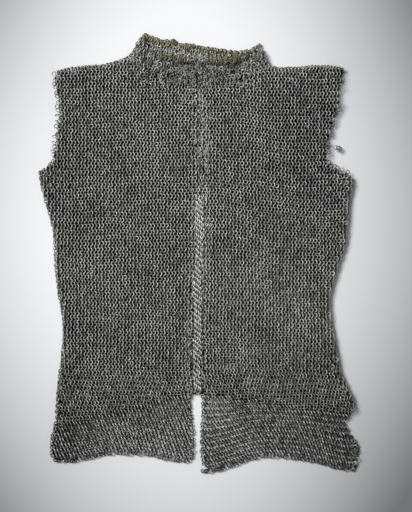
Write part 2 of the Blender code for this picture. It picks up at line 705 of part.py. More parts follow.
def add_right_lapel(steel, brass):
    hinge = RIGHT_LAPEL_HINGE
    carrier = hinge.carrier("right_lapel_hinge")
    edge = swing_limited(smooth_path(RIGHT_LAPEL_EDGE_shares), hinge)
    foot, foot_front = lapel_foot(hinge, hinge.start, edge[-1].x, HALF_SEAM, HALF_SEAM)
    below_wing = Vector((0, -SEAM_GAP))
    panel = [foot_front, foot, hinge.at_level(WING_FOOT - SEAM_GAP, HALF_SEAM)]
    panel += [edge[0] + below_wing] + edge[1:-1]
    mail_sheet("right_lapel_panel", panel, ripple_over(panel), steel, carrier, rows=True)
    corners = [on_shirt(share) for share in RIGHT_WING_TOP_shares]
    top = smooth_curve([hinge.at_level(RIGHT_WING_END, WING_SETBACK)] + corners)
    top_in = moved_in(top, EDGE_ROWS_WIDTH)
    past_end = (top[0] - top[1]).normalized() * EDGE_GAP
    wing = [edge[0], hinge.at_level(WING_FOOT, HALF_SEAM), hinge.at_level(RIGHT_WING_HEEL, HALF_SEAM)]
    wing += [top[0] + past_end, top_in[0] + past_end] + top_in[:-1] + [Vector((edge[0].x, top_in[-1].y))]
    mail_sheet("right_collar_wing", wing, lambda point: FRONT_BASE, steel, carrier, grid=False)
    linked_rings("right_wing_brass_rings", top, FRONT_BASE + MAIL_THICKNESS / 2, brass, carrier)


# The tails, single mail that reaches past the back's hem


def drop_from(hinge):
    """Height of a tail's underside: level over the back's hem, then down to the ground."""
    return lambda point: FRONT_BASE * (1 - eased(hinge.reach(point), TAIL_DROP_START, TAIL_DROP_RUN))


def drop_creases(hinge):
    shares_of_run = (0, 0.35, 0.65, 1)
    return [hinge.parallel(TAIL_DROP_START + TAIL_DROP_RUN * share, TUCK_WIDTH) for share in shares_of_run]


def add_left_tail(material):
    """The left tail, whose outer edge is turned under."""
    hinge = LEFT_TAIL_HINGE
    carrier = hinge.carrier("left_tail_hinge")
    tuck = smooth_path(LEFT_TUCK_shares)
    mail_fold("left_tail_tuck", tuck, inward_normals(tuck), material, carrier, TUCK_RADIUS, TUCK_WIDTH)
    outline = [hinge.beside(on_shirt(LEFT_TAIL_CORNER_shares), HALF_SEAM)]
    outline += smooth_path(LEFT_TAIL_OUTER_shares) + moved_in(tuck, TUCK_RADIUS + SEAM_GAP)
    outline += LEFT_HEM + smooth_path(LEFT_TAIL_SLIT_shares)
    outline.append(hinge.beside(hinge.start, HALF_SEAM))
    over_tuck = MAIL_THICKNESS + TUCK_GAP
    ramp_start = tuck[0].x + TUCK_WIDTH + TUCK_GAP
    dropped = drop_from(hinge)

    def height_at(point):
        return max(dropped(point), over_tuck * (1 - eased(point.x, ramp_start, TUCK_RAMP)))

    high = hinge.start.y
    low = on_shirt((0, 0)).y
    ramp = [ramp_start + TUCK_RAMP * share for share in (0, 0.5, 1)]
    creases = drop_creases(hinge) + [[Vector((x, high)), Vector((x, low))] for x in ramp]
    mail_sheet("left_tail_panel", outline, height_at, material, carrier, creases, grid=False)


def add_right_tail(material):
    """The right tail, whose free side ends in linked rings."""
    hinge = RIGHT_TAIL_HINGE
    carrier = hinge.carrier("right_tail_hinge")
    outline = [hinge.beside(hinge.end, HALF_SEAM)] + smooth_path(RIGHT_TAIL_SLIT_shares)
    edge = smooth_path(RIGHT_TAIL_OUTER_shares)
    past_end = (edge[-1] - edge[-2]).normalized() * EDGE_GAP
    edge_in = moved_in(edge, EDGE_ROWS_WIDTH)
    outline += RIGHT_HEM + edge_in
    outline += [edge_in[-1] + past_end, edge[-1] + past_end] + smooth_path(RIGHT_TAIL_NOTCH_shares)
    outline.append(hinge.beside(hinge.start, HALF_SEAM))
    creases = drop_creases(hinge)
    mail_sheet("right_tail_panel", outline, drop_from(hinge), material, carrier, creases, grid=False)
    linked_rings("right_tail_edge_rings", edge, RING_HALF_HEIGHT, material, carrier)


def build_shirt():
    steel = mail_material("steel_mail", (0.105, 0.105, 0.095), 0.45)
    brass = mail_material("brass_mail", (0.23, 0.17, 0.075), 0.45)
    body = carrier_at("shirt_body", (0, 0, 0))
    add_turned_edges(steel, body)
    add_back_layer(steel, body)
    linked_rings("back_brass_rings", smooth_path(BACK_COLLAR_TOP_shares), RING_HALF_HEIGHT, brass, body)
    add_front_left(steel, body)
    add_front_right(steel, body)
    add_left_lapel(steel, brass)
    add_right_lapel(steel, brass)
    add_left_tail(steel)
    add_right_tail(steel)


clear_scene()
build_shirt()
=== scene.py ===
"""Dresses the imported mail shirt: its mail ring by ring, the brass rows of the collar, the pale
floor, the light and the camera. Metres, +Z up, collar toward +Y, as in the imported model.
"""

import json
import math

import bpy
import numpy as np
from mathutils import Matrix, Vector
from mathutils.geometry import delaunay_2d_cdt

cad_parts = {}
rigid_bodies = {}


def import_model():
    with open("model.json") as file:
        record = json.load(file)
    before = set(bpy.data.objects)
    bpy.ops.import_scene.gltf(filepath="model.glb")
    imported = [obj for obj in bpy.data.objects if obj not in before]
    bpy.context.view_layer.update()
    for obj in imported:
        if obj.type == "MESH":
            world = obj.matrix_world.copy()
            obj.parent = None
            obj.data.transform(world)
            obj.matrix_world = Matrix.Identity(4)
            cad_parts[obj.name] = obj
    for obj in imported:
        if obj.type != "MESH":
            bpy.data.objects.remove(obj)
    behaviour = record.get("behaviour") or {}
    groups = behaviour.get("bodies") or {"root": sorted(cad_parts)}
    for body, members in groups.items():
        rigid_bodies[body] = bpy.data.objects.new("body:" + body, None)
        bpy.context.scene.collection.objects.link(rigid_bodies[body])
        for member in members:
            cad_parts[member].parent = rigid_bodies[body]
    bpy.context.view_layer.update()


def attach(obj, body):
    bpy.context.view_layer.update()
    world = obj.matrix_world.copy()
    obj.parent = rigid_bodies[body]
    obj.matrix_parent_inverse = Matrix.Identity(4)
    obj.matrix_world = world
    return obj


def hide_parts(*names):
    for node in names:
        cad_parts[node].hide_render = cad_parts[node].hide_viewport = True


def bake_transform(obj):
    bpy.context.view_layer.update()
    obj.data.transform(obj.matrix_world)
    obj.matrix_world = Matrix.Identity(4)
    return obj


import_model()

# Sizes of the shirt as it lies

SHIRT_WIDTH = 0.580
SHIRT_LENGTH = 0.796
ORIGIN_shares = (0.0, 0.4985)
BACK_LEVEL = 0.00290
FRONT_LEVEL = 0.01375
FOLD_RADIUS = 0.00825
FOLD_REACH = 0.0055

# Sizes of the mail

RING_WIDTH = 0.0088
WIRE_WIDTH = 0.0017
PITCH = 0.0062
ROW_PITCH = 0.0053
LEAN = math.radians(34)
ODD_LEAN = math.radians(46)

# How far ring centres stay inside a free edge, how finely the guides are drawn, and the lines
# of an edge's guide, counted in rows from the edge

EDGE_INSET = 0.0042
FRONT_INSET = 0.0029
HEM_INSET = 0.0048
SLIT_FLARE = 0.0035
WING_INSET = 0.0080
PATH_STEP = 0.010
FINE_STEP = 0.005
GUIDE_STEP = 0.0085
BACK_STEP = 0.012
FOLD_STEPS = 9
EDGE_ROWS = (-0.45, 0.5, 1.45)

# Lengths cut off a path where a fold, a free edge, an armhole or a chain ends

FOLD_TRIM = 0.004
FREE_TRIM = 0.006
SHOULDER_TRIM = 0.005
UNDERARM_TRIM = 0.009
CHAIN_TRIM = 0.003

# Bends: half the width of mail that turns at a hinge, and of the strip that is made for it, and
# where a tail's own weave starts past its hinge

BEND_HALF = 0.0095
STRIP_HALF = 0.0145
DROP_START = 0.002

# Ranges of a zone: of the way past a hinge, or of the level

FAR = 9.0
ANY = (-FAR, FAR)
FIXED = (-FAR, -STRIP_HALF)
BENT = (-STRIP_HALF, STRIP_HALF)
MOVED = (STRIP_HALF, FAR)

# Outlines, counterclockwise round the shirt. Each point is a share of the width right of the
# middle and a share of the length above the hem.

LEFT_SIDE_shares = [
    (-0.497, 0.690), (-0.491, 0.658), (-0.472, 0.606), (-0.453, 0.552), (-0.447, 0.484),
    (-0.438, 0.416), (-0.425, 0.362), (-0.422, 0.314), (-0.429, 0.253), (-0.438, 0.206),
    (-0.444, 0.158), (-0.444, 0.118),
]
BACK_HEM_shares = [
    (-0.438, 0.103), (-0.398, 0.104), (-0.335, 0.115), (-0.211, 0.138), (-0.102, 0.161),
    (-0.016, 0.174), (0.006, 0.174), (0.130, 0.163), (0.286, 0.147), (0.379, 0.133),
    (0.457, 0.123), (0.484, 0.137),
]
RIGHT_SIDE_shares = [
    (0.494, 0.147), (0.484, 0.170), (0.463, 0.204), (0.444, 0.235), (0.432, 0.283),
    (0.416, 0.346), (0.410, 0.396), (0.419, 0.430), (0.441, 0.484), (0.460, 0.525),
    (0.466, 0.566), (0.472, 0.620), (0.484, 0.665), (0.478, 0.683),
]
RIGHT_ARMHOLE_shares = [
    (0.478, 0.683), (0.410, 0.706), (0.407, 0.742), (0.416, 0.776), (0.429, 0.810),
    (0.441, 0.839), (0.444, 0.867), (0.453, 0.900), (0.457, 0.921),
]
RIGHT_SHOULDER_shares = [
    (0.457, 0.921), (0.416, 0.929), (0.342, 0.928), (0.286, 0.925), (0.242, 0.925),
]
RIGHT_COLLAR_shares = [(0.220, 0.932), (0.213, 0.946), (0.205, 0.962), (0.194, 0.973)]
BACK_COLLAR_TOP_shares = [
    (0.194, 0.973), (0.174, 0.965), (0.143, 0.958), (0.068, 0.962), (0.019, 0.968),
    (-0.025, 0.973), (-0.062, 0.977), (-0.081, 0.984), (-0.118, 0.986), (-0.149, 0.991),
    (-0.171, 0.995),
]
LEFT_COLLAR_shares = [
    (-0.171, 0.995), (-0.185, 0.986), (-0.194, 0.975), (-0.203, 0.962), (-0.220, 0.949),
]
LEFT_SHOULDER_shares = [
    (-0.248, 0.941), (-0.292, 0.932), (-0.354, 0.928), (-0.410, 0.922), (-0.447, 0.914),
]
LEFT_ARMHOLE_shares = [
    (-0.447, 0.914), (-0.450, 0.893), (-0.444, 0.871), (-0.438, 0.821), (-0.444, 0.776),
    (-0.453, 0.735), (-0.460, 0.710), (-0.497, 0.690),
]
NECK_SEAM_shares = [(0.130, 0.912), (0.000, 0.905), (-0.102, 0.914)]

# Front edges of the two halves, between the hem and the wing

LEFT_FRONT_shares = [
    (-0.016, 0.036), (-0.016, 0.068), (-0.019, 0.147), (-0.018, 0.190), (-0.018, 0.300),
    (-0.016, 0.350), (-0.016, 0.396), (-0.012, 0.452), (-0.003, 0.509), (-0.003, 0.900),
]
RIGHT_FRONT_shares = [
    (-0.003, 0.900), (-0.003, 0.509), (0.006, 0.452), (0.008, 0.396), (0.008, 0.300),
    (0.008, 0.190), (0.012, 0.158), (0.009, 0.102), (0.008, 0.045), (0.016, 0.012),
]
LEFT_WING_TOP_shares = [(-0.008, 0.937), (-0.071, 0.939), (-0.124, 0.950)]
RIGHT_WING_TOP_shares = [(0.153, 0.949), (0.130, 0.939), (0.084, 0.934), (0.002, 0.937)]
LEFT_STRAP_shares = (-0.150, 0.968)
RIGHT_STRAP_shares = (0.172, 0.958)

# Tails

LEFT_TAIL_OUTER_shares = [(-0.451, 0.112), (-0.459, 0.084), (-0.461, 0.055), (-0.458, 0.037)]
LEFT_TAIL_HEM_shares = [
    (-0.450, 0.027), (-0.398, 0.027), (-0.335, 0.035), (-0.273, 0.044), (-0.211, 0.043),
    (-0.149, 0.042), (-0.102, 0.032), (-0.056, 0.026), (-0.016, 0.030),
]
RIGHT_TAIL_HEM_shares = [
    (0.010, 0.002), (0.034, 0.002), (0.075, 0.009), (0.118, 0.019), (0.155, 0.029),
    (0.208, 0.037), (0.270, 0.036), (0.332, 0.031), (0.394, 0.019), (0.447, 0.010),
    (0.490, 0.008),
]
RIGHT_TAIL_OUTER_shares = [
    (0.492, 0.008), (0.497, 0.032), (0.498, 0.063), (0.490, 0.084), (0.474, 0.104),
    (0.459, 0.120),
]

# Lower ends of the lapels and of the wings

LAPEL_FOOT_share = 0.328
WING_FOOT_share = 0.880

# Tails, from the hinge line down to the floor, and the turned-under edge of the left one

TAIL_DROP_START = -0.020
TAIL_DROP_RUN = 0.070
TUCK_WIDTH = 0.034
TUCK_RADIUS = 0.0057
TUCK_REACH = 0.00295
TUCK_RAMP = 0.016
OVER_TUCK = 0.0059

# How the mail gathers at the neck, and the level that its rows take along the hems

NECK_MIDDLE = 0.004
GATHER_START = 0.290
GATHER = 0.14
HEM_share = 0.030

# In the tails the columns slant, less so at the right, and the rows lie closer. The right
# half's rows lie further apart from the hips down.

SLANT_TOP = -0.205
SPREAD_TOP = -0.090
SOFT_START = 0.03
TAIL_SQUEEZE = 0.13

# Creases of the front, its sooner drop and its flare at the slit, the raised middle of the
# back's hem, and where the rings lie loose

CREASE_HEIGHT = 0.0015
CREASE_LENGTH = 0.120
CREASE_FADE = 0.035
SLIT_DROP = 0.022
SLIT_TOP_share = 0.165
SLIT_FLARE_REACH = 0.018
TUCK_END = 0.02
BACK_HEM_RAISE = 0.0045
OPENING_SLACK = 0.35
NECK_SLACK = 1.5
UNDERARM_shares = ((-0.485, 0.680), (0.470, 0.672))
UNDERARM_SLACK = 1.6
UNDERARM_REACH = 0.025


# Plan geometry, on arrays of points


def spot(share):
    """The plan place of a point given as shares of the width and length."""
    return np.array([
        (share[0] - ORIGIN_shares[0]) * SHIRT_WIDTH,
        (share[1] - ORIGIN_shares[1]) * SHIRT_LENGTH,
    ])


def level(share):
    """The height up the shirt of a share of its length."""
    return float(spot((0, share))[1])


def smooth_path(shares, step=PATH_STEP):
    """Points about one step apart on a smooth curve through the outline's points."""
    corners = [spot(share) for share in shares]
    points = []
    for i in range(len(corners) - 1):
        before = corners[max(i - 1, 0)]
        start = corners[i]
        end = corners[i + 1]
        after = corners[min(i + 2, len(corners) - 1)]
        pieces = max(1, round(np.linalg.norm(end - start) / step))
        for j in range(pieces):
            t = j / pieces
            bend = before * 2 - start * 5 + end * 4 - after
            twist = start * 3 - before - end * 3 + after
            points.append((start * 2 + (end - before) * t + bend * t**2 + twist * t**3) / 2)
    return np.array(points + [corners[-1]])


def unit(vectors):
    return vectors / np.maximum(np.linalg.norm(vectors, axis=-1, keepdims=True), 1e-12)


def inward_normals(path):
    """For each point of a counterclockwise path, the unit vector into the shirt."""
    along = np.gradient(path, axis=0)
    return unit(np.column_stack([-along[:, 1], along[:, 0]]))


def moved_in(path, distance):
    return path + inward_normals(path) * distance


def lengths_along(path):
    """The length of the path up to each of its points."""
    return np.concatenate([[0], np.cumsum(np.linalg.norm(np.diff(path, axis=0), axis=1))])


def trimmed(path, at_start, at_end):
    """A path with a length cut off each end."""
    lengths = lengths_along(path)
    kept = (lengths > at_start) & (lengths < lengths[-1] - at_end)
    marks = np.concatenate([[at_start], lengths[kept], [lengths[-1] - at_end]])
    return np.column_stack([np.interp(marks, lengths, path[:, k]) for k in (0, 1)])


def distance_to_path(points, path):
    """The plan distance from each point to a polyline."""
    start = path[:-1]
    run = path[1:] - start
    gap = points[:, None, :] - start[None]
    t = np.clip((gap * run).sum(-1) / np.maximum((run**2).sum(-1), 1e-12), 0, 1)
    return np.linalg.norm(gap - run * t[..., None], axis=-1).min(1)


def is_inside(points, outline):
    """Whether each point lies inside a closed outline."""
    a = outline
    b = np.roll(outline, -1, axis=0)
    x, y = points[:, :1], points[:, 1:]
    spans = (a[:, 1] > y) != (b[:, 1] > y)
    rise = np.where(np.abs(b[:, 1] - a[:, 1]) < 1e-12, 1e-12, b[:, 1] - a[:, 1])
    crossing = a[:, 0] + (y - a[:, 1]) / rise * (b[:, 0] - a[:, 0])
    return (spans & (x < crossing)).sum(1) % 2 == 1


def eased(value, start, run):
    """0 before the start, 1 after the run, and a smooth rise between."""
    t = np.clip((value - start) / run, 0, 1)
    return t * t * (3 - 2 * t)


def swell(value, height, start, run):
    """0 before the start, the height after the run, and a smooth rise between."""
    return height * eased(value, start, run)


def bell(value, middle, reach):
    """1 at the middle, fading on both sides over the reach."""
    return np.exp(-(((value - middle) / reach) ** 2))


def ripple(x, y, height, across, up):
    """A slanting wave, given by its height and its lengths across and up the shirt."""
    return height * np.sin(math.tau * (x / across + y / up))


def gained(past, rate):
    """How much a rate adds up to past a line, with a soft start."""
    return rate * past**2 / (past + SOFT_START)


class HingeLine:
    """A straight fold line in plan, with the moving mail on its left-hand side."""

    def __init__(self, start_shares, end_shares):
        self.start = spot(start_shares)
        self.end = spot(end_shares)
        along = (self.end - self.start) / np.linalg.norm(self.end - self.start)
        self.inward = np.array([-along[1], along[0]])

    def reach(self, points):
        """How far each point lies from the line, on the moving side."""
        return (points - self.start) @ self.inward

    def bend_ends(self):
        """The points where the bend starts on the fixed mail and ends on the moving mail."""
        middle = (self.start + self.end) / 2
        fixed = middle - self.inward * BEND_HALF
        moving = middle + self.inward * BEND_HALF
        return (*fixed, FRONT_LEVEL), (*moving, FRONT_LEVEL)


LEFT_LAPEL_HINGE = HingeLine((-0.152, 0.989), (-0.031, LAPEL_FOOT_share))
RIGHT_LAPEL_HINGE = HingeLine((0.025, LAPEL_FOOT_share), (0.174, 0.968))
LEFT_TAIL_HINGE = HingeLine((-0.020, 0.190), (-0.430, 0.116))
RIGHT_TAIL_HINGE = HingeLine((0.457, 0.138), (0.008, 0.192))

LEFT_SIDE = smooth_path(LEFT_SIDE_shares)
RIGHT_SIDE = smooth_path(RIGHT_SIDE_shares)
LEFT_SHOULDER = smooth_path(LEFT_COLLAR_shares[-1:] + LEFT_SHOULDER_shares)
RIGHT_SHOULDER = smooth_path(RIGHT_SHOULDER_shares + RIGHT_COLLAR_shares[:1])
LEFT_COLLAR = smooth_path(LEFT_COLLAR_shares, FINE_STEP)
RIGHT_COLLAR = smooth_path(RIGHT_COLLAR_shares, FINE_STEP)
LEFT_ARMHOLE = smooth_path(LEFT_ARMHOLE_shares)
RIGHT_ARMHOLE = smooth_path(RIGHT_ARMHOLE_shares)
LEFT_HEM = smooth_path(LEFT_TAIL_HEM_shares)
RIGHT_HEM = smooth_path(RIGHT_TAIL_HEM_shares)

FOLDS = {
    "left_side_fold": trimmed(LEFT_SIDE, FOLD_TRIM, 0),
    "right_side_fold": trimmed(RIGHT_SIDE, FOLD_TRIM, FOLD_TRIM),
    "left_shoulder_fold": trimmed(LEFT_SHOULDER, 0, FOLD_TRIM),
    "right_shoulder_fold": trimmed(RIGHT_SHOULDER, FOLD_TRIM, 0),
    "left_collar_fold": trimmed(LEFT_COLLAR, FOLD_TRIM, 0),
    "right_collar_fold": trimmed(RIGHT_COLLAR, 0, FOLD_TRIM),
}
LEFT_ARM_LINE = moved_in(trimmed(LEFT_ARMHOLE, SHOULDER_TRIM, UNDERARM_TRIM), EDGE_INSET)
RIGHT_ARM_LINE = moved_in(trimmed(RIGHT_ARMHOLE, UNDERARM_TRIM, SHOULDER_TRIM), EDGE_INSET)

# How the rows of mail run over the shirt

ROW_TABLE = np.linspace(-0.45, 0.45, 901)
CLOSER_ROWS = swell(-ROW_TABLE, height=0.11, start=-0.025, run=0.045)
WIDER_ROWS = swell(-ROW_TABLE, height=0.10, start=0.190, run=0.080)
ROW_GROWTH = 1 + CLOSER_ROWS - WIDER_ROWS
ROW_COUNT = np.cumsum(ROW_GROWTH) * (ROW_TABLE[1] - ROW_TABLE[0])
ROW_COUNT -= np.interp(0, ROW_TABLE, ROW_COUNT)


def hem_height(x):
    """The height of the tails' hems across the shirt, with a step at the slit."""
    left = np.interp(x, LEFT_HEM[:, 0], LEFT_HEM[:, 1])
    right = np.interp(x, RIGHT_HEM[:, 0], RIGHT_HEM[:, 1])
    return np.where(x < 0, left, right)


def near_neck(x, y):
    """1 in the mail of the collar and the neck, 0 elsewhere."""
    beside = eased(np.abs(x - NECK_MIDDLE), start=0.088, run=0.030)
    return eased(y, start=0.288, run=0.030) * (1 - beside)


def row_shift(x, y):
    """How far the rows hang below level: they sag on both sides and follow the hems."""
    sag_right = swell(x, height=0.019, start=0.02, run=0.18) * bell(y, middle=0.10, reach=0.17)
    sag_left = swell(x, height=0.0087, start=-0.28, run=0.26) * bell(y, middle=-0.12, reach=0.10)
    near_hem = eased(-y, start=0.235, run=0.125)
    sway = ripple(x, y, height=0.0012, across=0.110, up=0.230)
    hem = level(HEM_share) - hem_height(x)
    return sag_right + sag_left + sway * (1 - near_hem) + hem * near_hem


def weave_at(points):
    """Each point's place in the mail: the length along its row, and the length up the rows."""
    x, y = points[:, 0], points[:, 1]
    shift = row_shift(x, y)
    rows = np.interp(y + shift, ROW_TABLE, ROW_COUNT)
    gathered = np.maximum(y - GATHER_START, 0) * near_neck(x, y)
    drift = ripple(x, y, height=0.0010, across=0.30, up=0.150)
    return np.column_stack([x + drift, rows + GATHER * gathered])


# Guides: surfaces that the rings are laid on


def store(mesh, name, kind, values):
    """Keeps one value for each point of a mesh."""
    attribute = mesh.attributes.new(name, kind, "POINT")
    key = "value" if kind == "FLOAT" else "vector"
    attribute.data.foreach_set(key, np.asarray(values, np.float32).ravel())


def mail_axes(points, weave, triangles):
    """For each point, the direction along its row and the direction out of the mail."""
    a, b, c = triangles.T
    run = points[b] - points[a]
    rise = points[c] - points[a]
    run_weave = weave[b] - weave[a]
    rise_weave = weave[c] - weave[a]
    area = run_weave[:, 0] * rise_weave[:, 1] - rise_weave[:, 0] * run_weave[:, 1]
    along = (run * rise_weave[:, 1:] - rise * run_weave[:, 1:]) * np.sign(area)[:, None]
    up = (rise * run_weave[:, :1] - run * rise_weave[:, :1]) * np.sign(area)[:, None]
    summed = np.zeros((2, len(points), 3))
    for corner in (a, b, c):
        np.add.at(summed[0], corner, along)
        np.add.at(summed[1], corner, up)
    along, up = unit(summed[0]), unit(summed[1])
    return along, unit(np.cross(along, up))


def make_guide(points, triangles, weave, zone, looseness=0):
    """A surface for rings. Its zone says how far each point is past each hinge, and its level."""
    mesh = bpy.data.meshes.new("guide")
    mesh.from_pydata(points.tolist(), [], triangles.tolist())
    along, outward = mail_axes(points, weave, triangles)
    store(mesh, "weave", "FLOAT_VECTOR", np.column_stack([weave, np.zeros(len(weave))]))
    store(mesh, "along", "FLOAT_VECTOR", along)
    store(mesh, "outward", "FLOAT_VECTOR", outward)
    store(mesh, "zone", "FLOAT_VECTOR", zone)
    store(mesh, "looseness", "FLOAT", np.broadcast_to(looseness, len(points)))
    return mesh


def filled(outline, step=GUIDE_STEP):
    """Plan points and triangles that fill an outline."""
    low, high = outline.min(0), outline.max(0)
    across = np.arange(low[0] + step / 2, high[0], step)
    up = np.arange(low[1] + step / 2, high[1], step)
    grid = np.array(np.meshgrid(across, up)).reshape(2, -1).T
    rim = np.vstack([outline, outline[:1]])
    grid = grid[is_inside(grid, outline) & (distance_to_path(grid, rim) > step / 3)]
    points = [Vector(p) for p in np.vstack([outline, grid])]
    face = list(range(len(outline)))
    points, _, triangles, _, _, _ = delaunay_2d_cdt(points, [], [face], 1, 1e-6)
    return np.array([tuple(p) for p in points]), np.array(triangles)


def level_zone(points):
    """The zone of mail that no hinge moves: only its level counts."""
    return np.column_stack([np.zeros(len(points)), np.zeros(len(points)), points[:, 1]])


def raised_to(height, plan):
    """Plan points at a height, or each at its own."""
    return np.column_stack([plan, np.broadcast_to(height, len(plan))])


def strip_guide(rows, looseness=0):
    """A guide from equal rows of points with their weave, each row one step further along."""
    count = len(rows[0][0])
    points = np.vstack([row[0] for row in rows])
    weave = np.vstack([row[1] for row in rows])
    triangles = []
    for i in range(len(rows) - 1):
        for j in range(count - 1):
            a = i * count + j
            triangles += [(a, a + 1, a + count), (a + 1, a + count + 1, a + count)]
    return make_guide(points, np.array(triangles), weave, level_zone(points), looseness)


def flat_guide(outline, step, weave_of, looseness=0):
    """A guide that lies flat at the level of the back."""
    plan, triangles = filled(outline, step)
    points = raised_to(BACK_LEVEL, plan)
    return make_guide(points, triangles, weave_of(plan), level_zone(plan), looseness)


def fold_guide(path, inset=FOLD_RADIUS, reach=FOLD_REACH, top=FRONT_LEVEL, under=None):
    """A guide that turns over along a path, from the layer above to the layer below."""
    normals = inward_normals(path)
    inner = path + normals * inset
    nudge = 0.001
    drift = (weave_at(inner - normals * nudge) - weave_at(inner)) / nudge
    middle = top - reach
    rows = []
    for turn in np.linspace(0, math.pi, FOLD_STEPS):
        points = raised_to(middle + reach * math.cos(turn), inner - normals * reach * math.sin(turn))
        rows.append((points, weave_at(inner) + drift * reach * turn))
    if under is not None:
        for part in (0.5, 1):
            points = raised_to(middle - reach, inner + normals * under * part)
            weave = weave_at(inner) + drift * (reach * math.pi + under * part)
            rows.append((points, weave))
    return strip_guide(rows)


def edge_guide(path, height, count, looseness):
    """A guide for rows of rings that follow an edge, the first of them just inside it."""
    lengths = lengths_along(path)
    rows = []
    for row in EDGE_ROWS[:count + 1]:
        points = raised_to(height, moved_in(path, RING_WIDTH / 2 + row * ROW_PITCH))
        rows.append((points, np.column_stack([lengths, np.full(len(path), row * ROW_PITCH)])))
    return strip_guide(rows, looseness)


# Node trees


class Signal:
    """A number's socket, on which plain arithmetic adds the nodes that do it."""

    def __init__(self, web, socket):
        self.web = web
        self.socket = socket

    def __add__(self, other):
        return self.web.maths("ADD", self, other)

    def __radd__(self, other):
        return self.web.maths("ADD", other, self)

    def __sub__(self, other):
        return self.web.maths("SUBTRACT", self, other)

    def __rsub__(self, other):
        return self.web.maths("SUBTRACT", other, self)

    def __mul__(self, other):
        return self.web.maths("MULTIPLY", self, other)

    def __rmul__(self, other):
        return self.web.maths("MULTIPLY", other, self)

    def __truediv__(self, other):
        return self.web.maths("DIVIDE", self, other)


class Web:
    """A node tree, and short ways to add to it."""

    def __init__(self, tree):
        self.tree = tree

    def node(self, kind, settings=None, values=None):
        """A node with its settings made first, then the values or links of its sockets."""
        node = self.tree.nodes.new(kind)
        for name, value in (settings or {}).items():
            setattr(node, name, value)
        for key, value in (values or {}).items():
            if isinstance(value, Signal):
                self.tree.links.new(value.socket, node.inputs[key])
            else:
                node.inputs[key].default_value = value
        return node

    def signal(self, kind, settings=None, values=None, output=0):
        return Signal(self, self.node(kind, settings, values).outputs[output])

    def maths(self, operation, first, second=0.0):
        return self.signal("ShaderNodeMath", {"operation": operation}, {0: first, 1: second})

    def clamped(self, value, low, high):
        return self.maths("MINIMUM", self.maths("MAXIMUM", value, low), high)

    def vector(self, x=0.0, y=0.0, z=0.0):
        return self.signal("ShaderNodeCombineXYZ", values={0: x, 1: y, 2: z})

    def vector_maths(self, operation, first, second, output=0):
        settings = {"operation": operation}
        return self.signal("ShaderNodeVectorMath", settings, {0: first, 1: second}, output)

    def ramp(self, factor, stops):
        """A colour ramp through (place, colour) stops."""
        node = self.node("ShaderNodeValToRGB", values={0: factor})
        elements = node.color_ramp.elements
        while len(elements) < len(stops):
            elements.new(0.5)
        for element, (place, color) in zip(elements, stops):
            element.position = place
            element.color = (*color, 1)
        return Signal(self, node.outputs[0])

    def mix(self, factor, first, second):
        values = {0: factor, 6: first, 7: second}
        return self.signal("ShaderNodeMix", {"data_type": "RGBA"}, values, 2)


SOCKET_KINDS = {
    float: "NodeSocketFloat", int: "NodeSocketInt", tuple: "NodeSocketVector",
    type(None): "NodeSocketMaterial",
}
MAIL_INPUTS = {
    "Ring Width": RING_WIDTH, "Wire Width": WIRE_WIDTH, "Ring Sides": 10, "Wire Sides": 4,
    "Pitch": PITCH, "Row Pitch": ROW_PITCH,
    "First Column": -60, "Columns": 120, "First Row": -90, "Rows": 180,
    "Lean": LEAN, "Odd Lean": ODD_LEAN, "Odd Shift": 0.42, "Odd Rise": 0.0, "Row Lift": 0.0012,
    "Turn": 0.0, "Gaps": 0.0, "Lean Spread": math.radians(10.5), "Play": 0.00055,
    "Zone From": (-FAR, -FAR, -FAR), "Zone To": (FAR, FAR, FAR), "Seed": 1, "Material": None,
}


# How much more loose rings move and lean, how much less they pitch than they lean, how unequal
# they are, how far a ring's closing bulges, the share of a ring's width from its middle to its
# crest, and how far off a zone still counts as in it

SLACK_GAIN = 1.4
PITCH_SHARE = 0.7
RING_SCALES = (0.96, 1.04)
LAP_SWELL = 0.35
CREST_SHARE = 0.36
SAME_ZONE = 1e-7


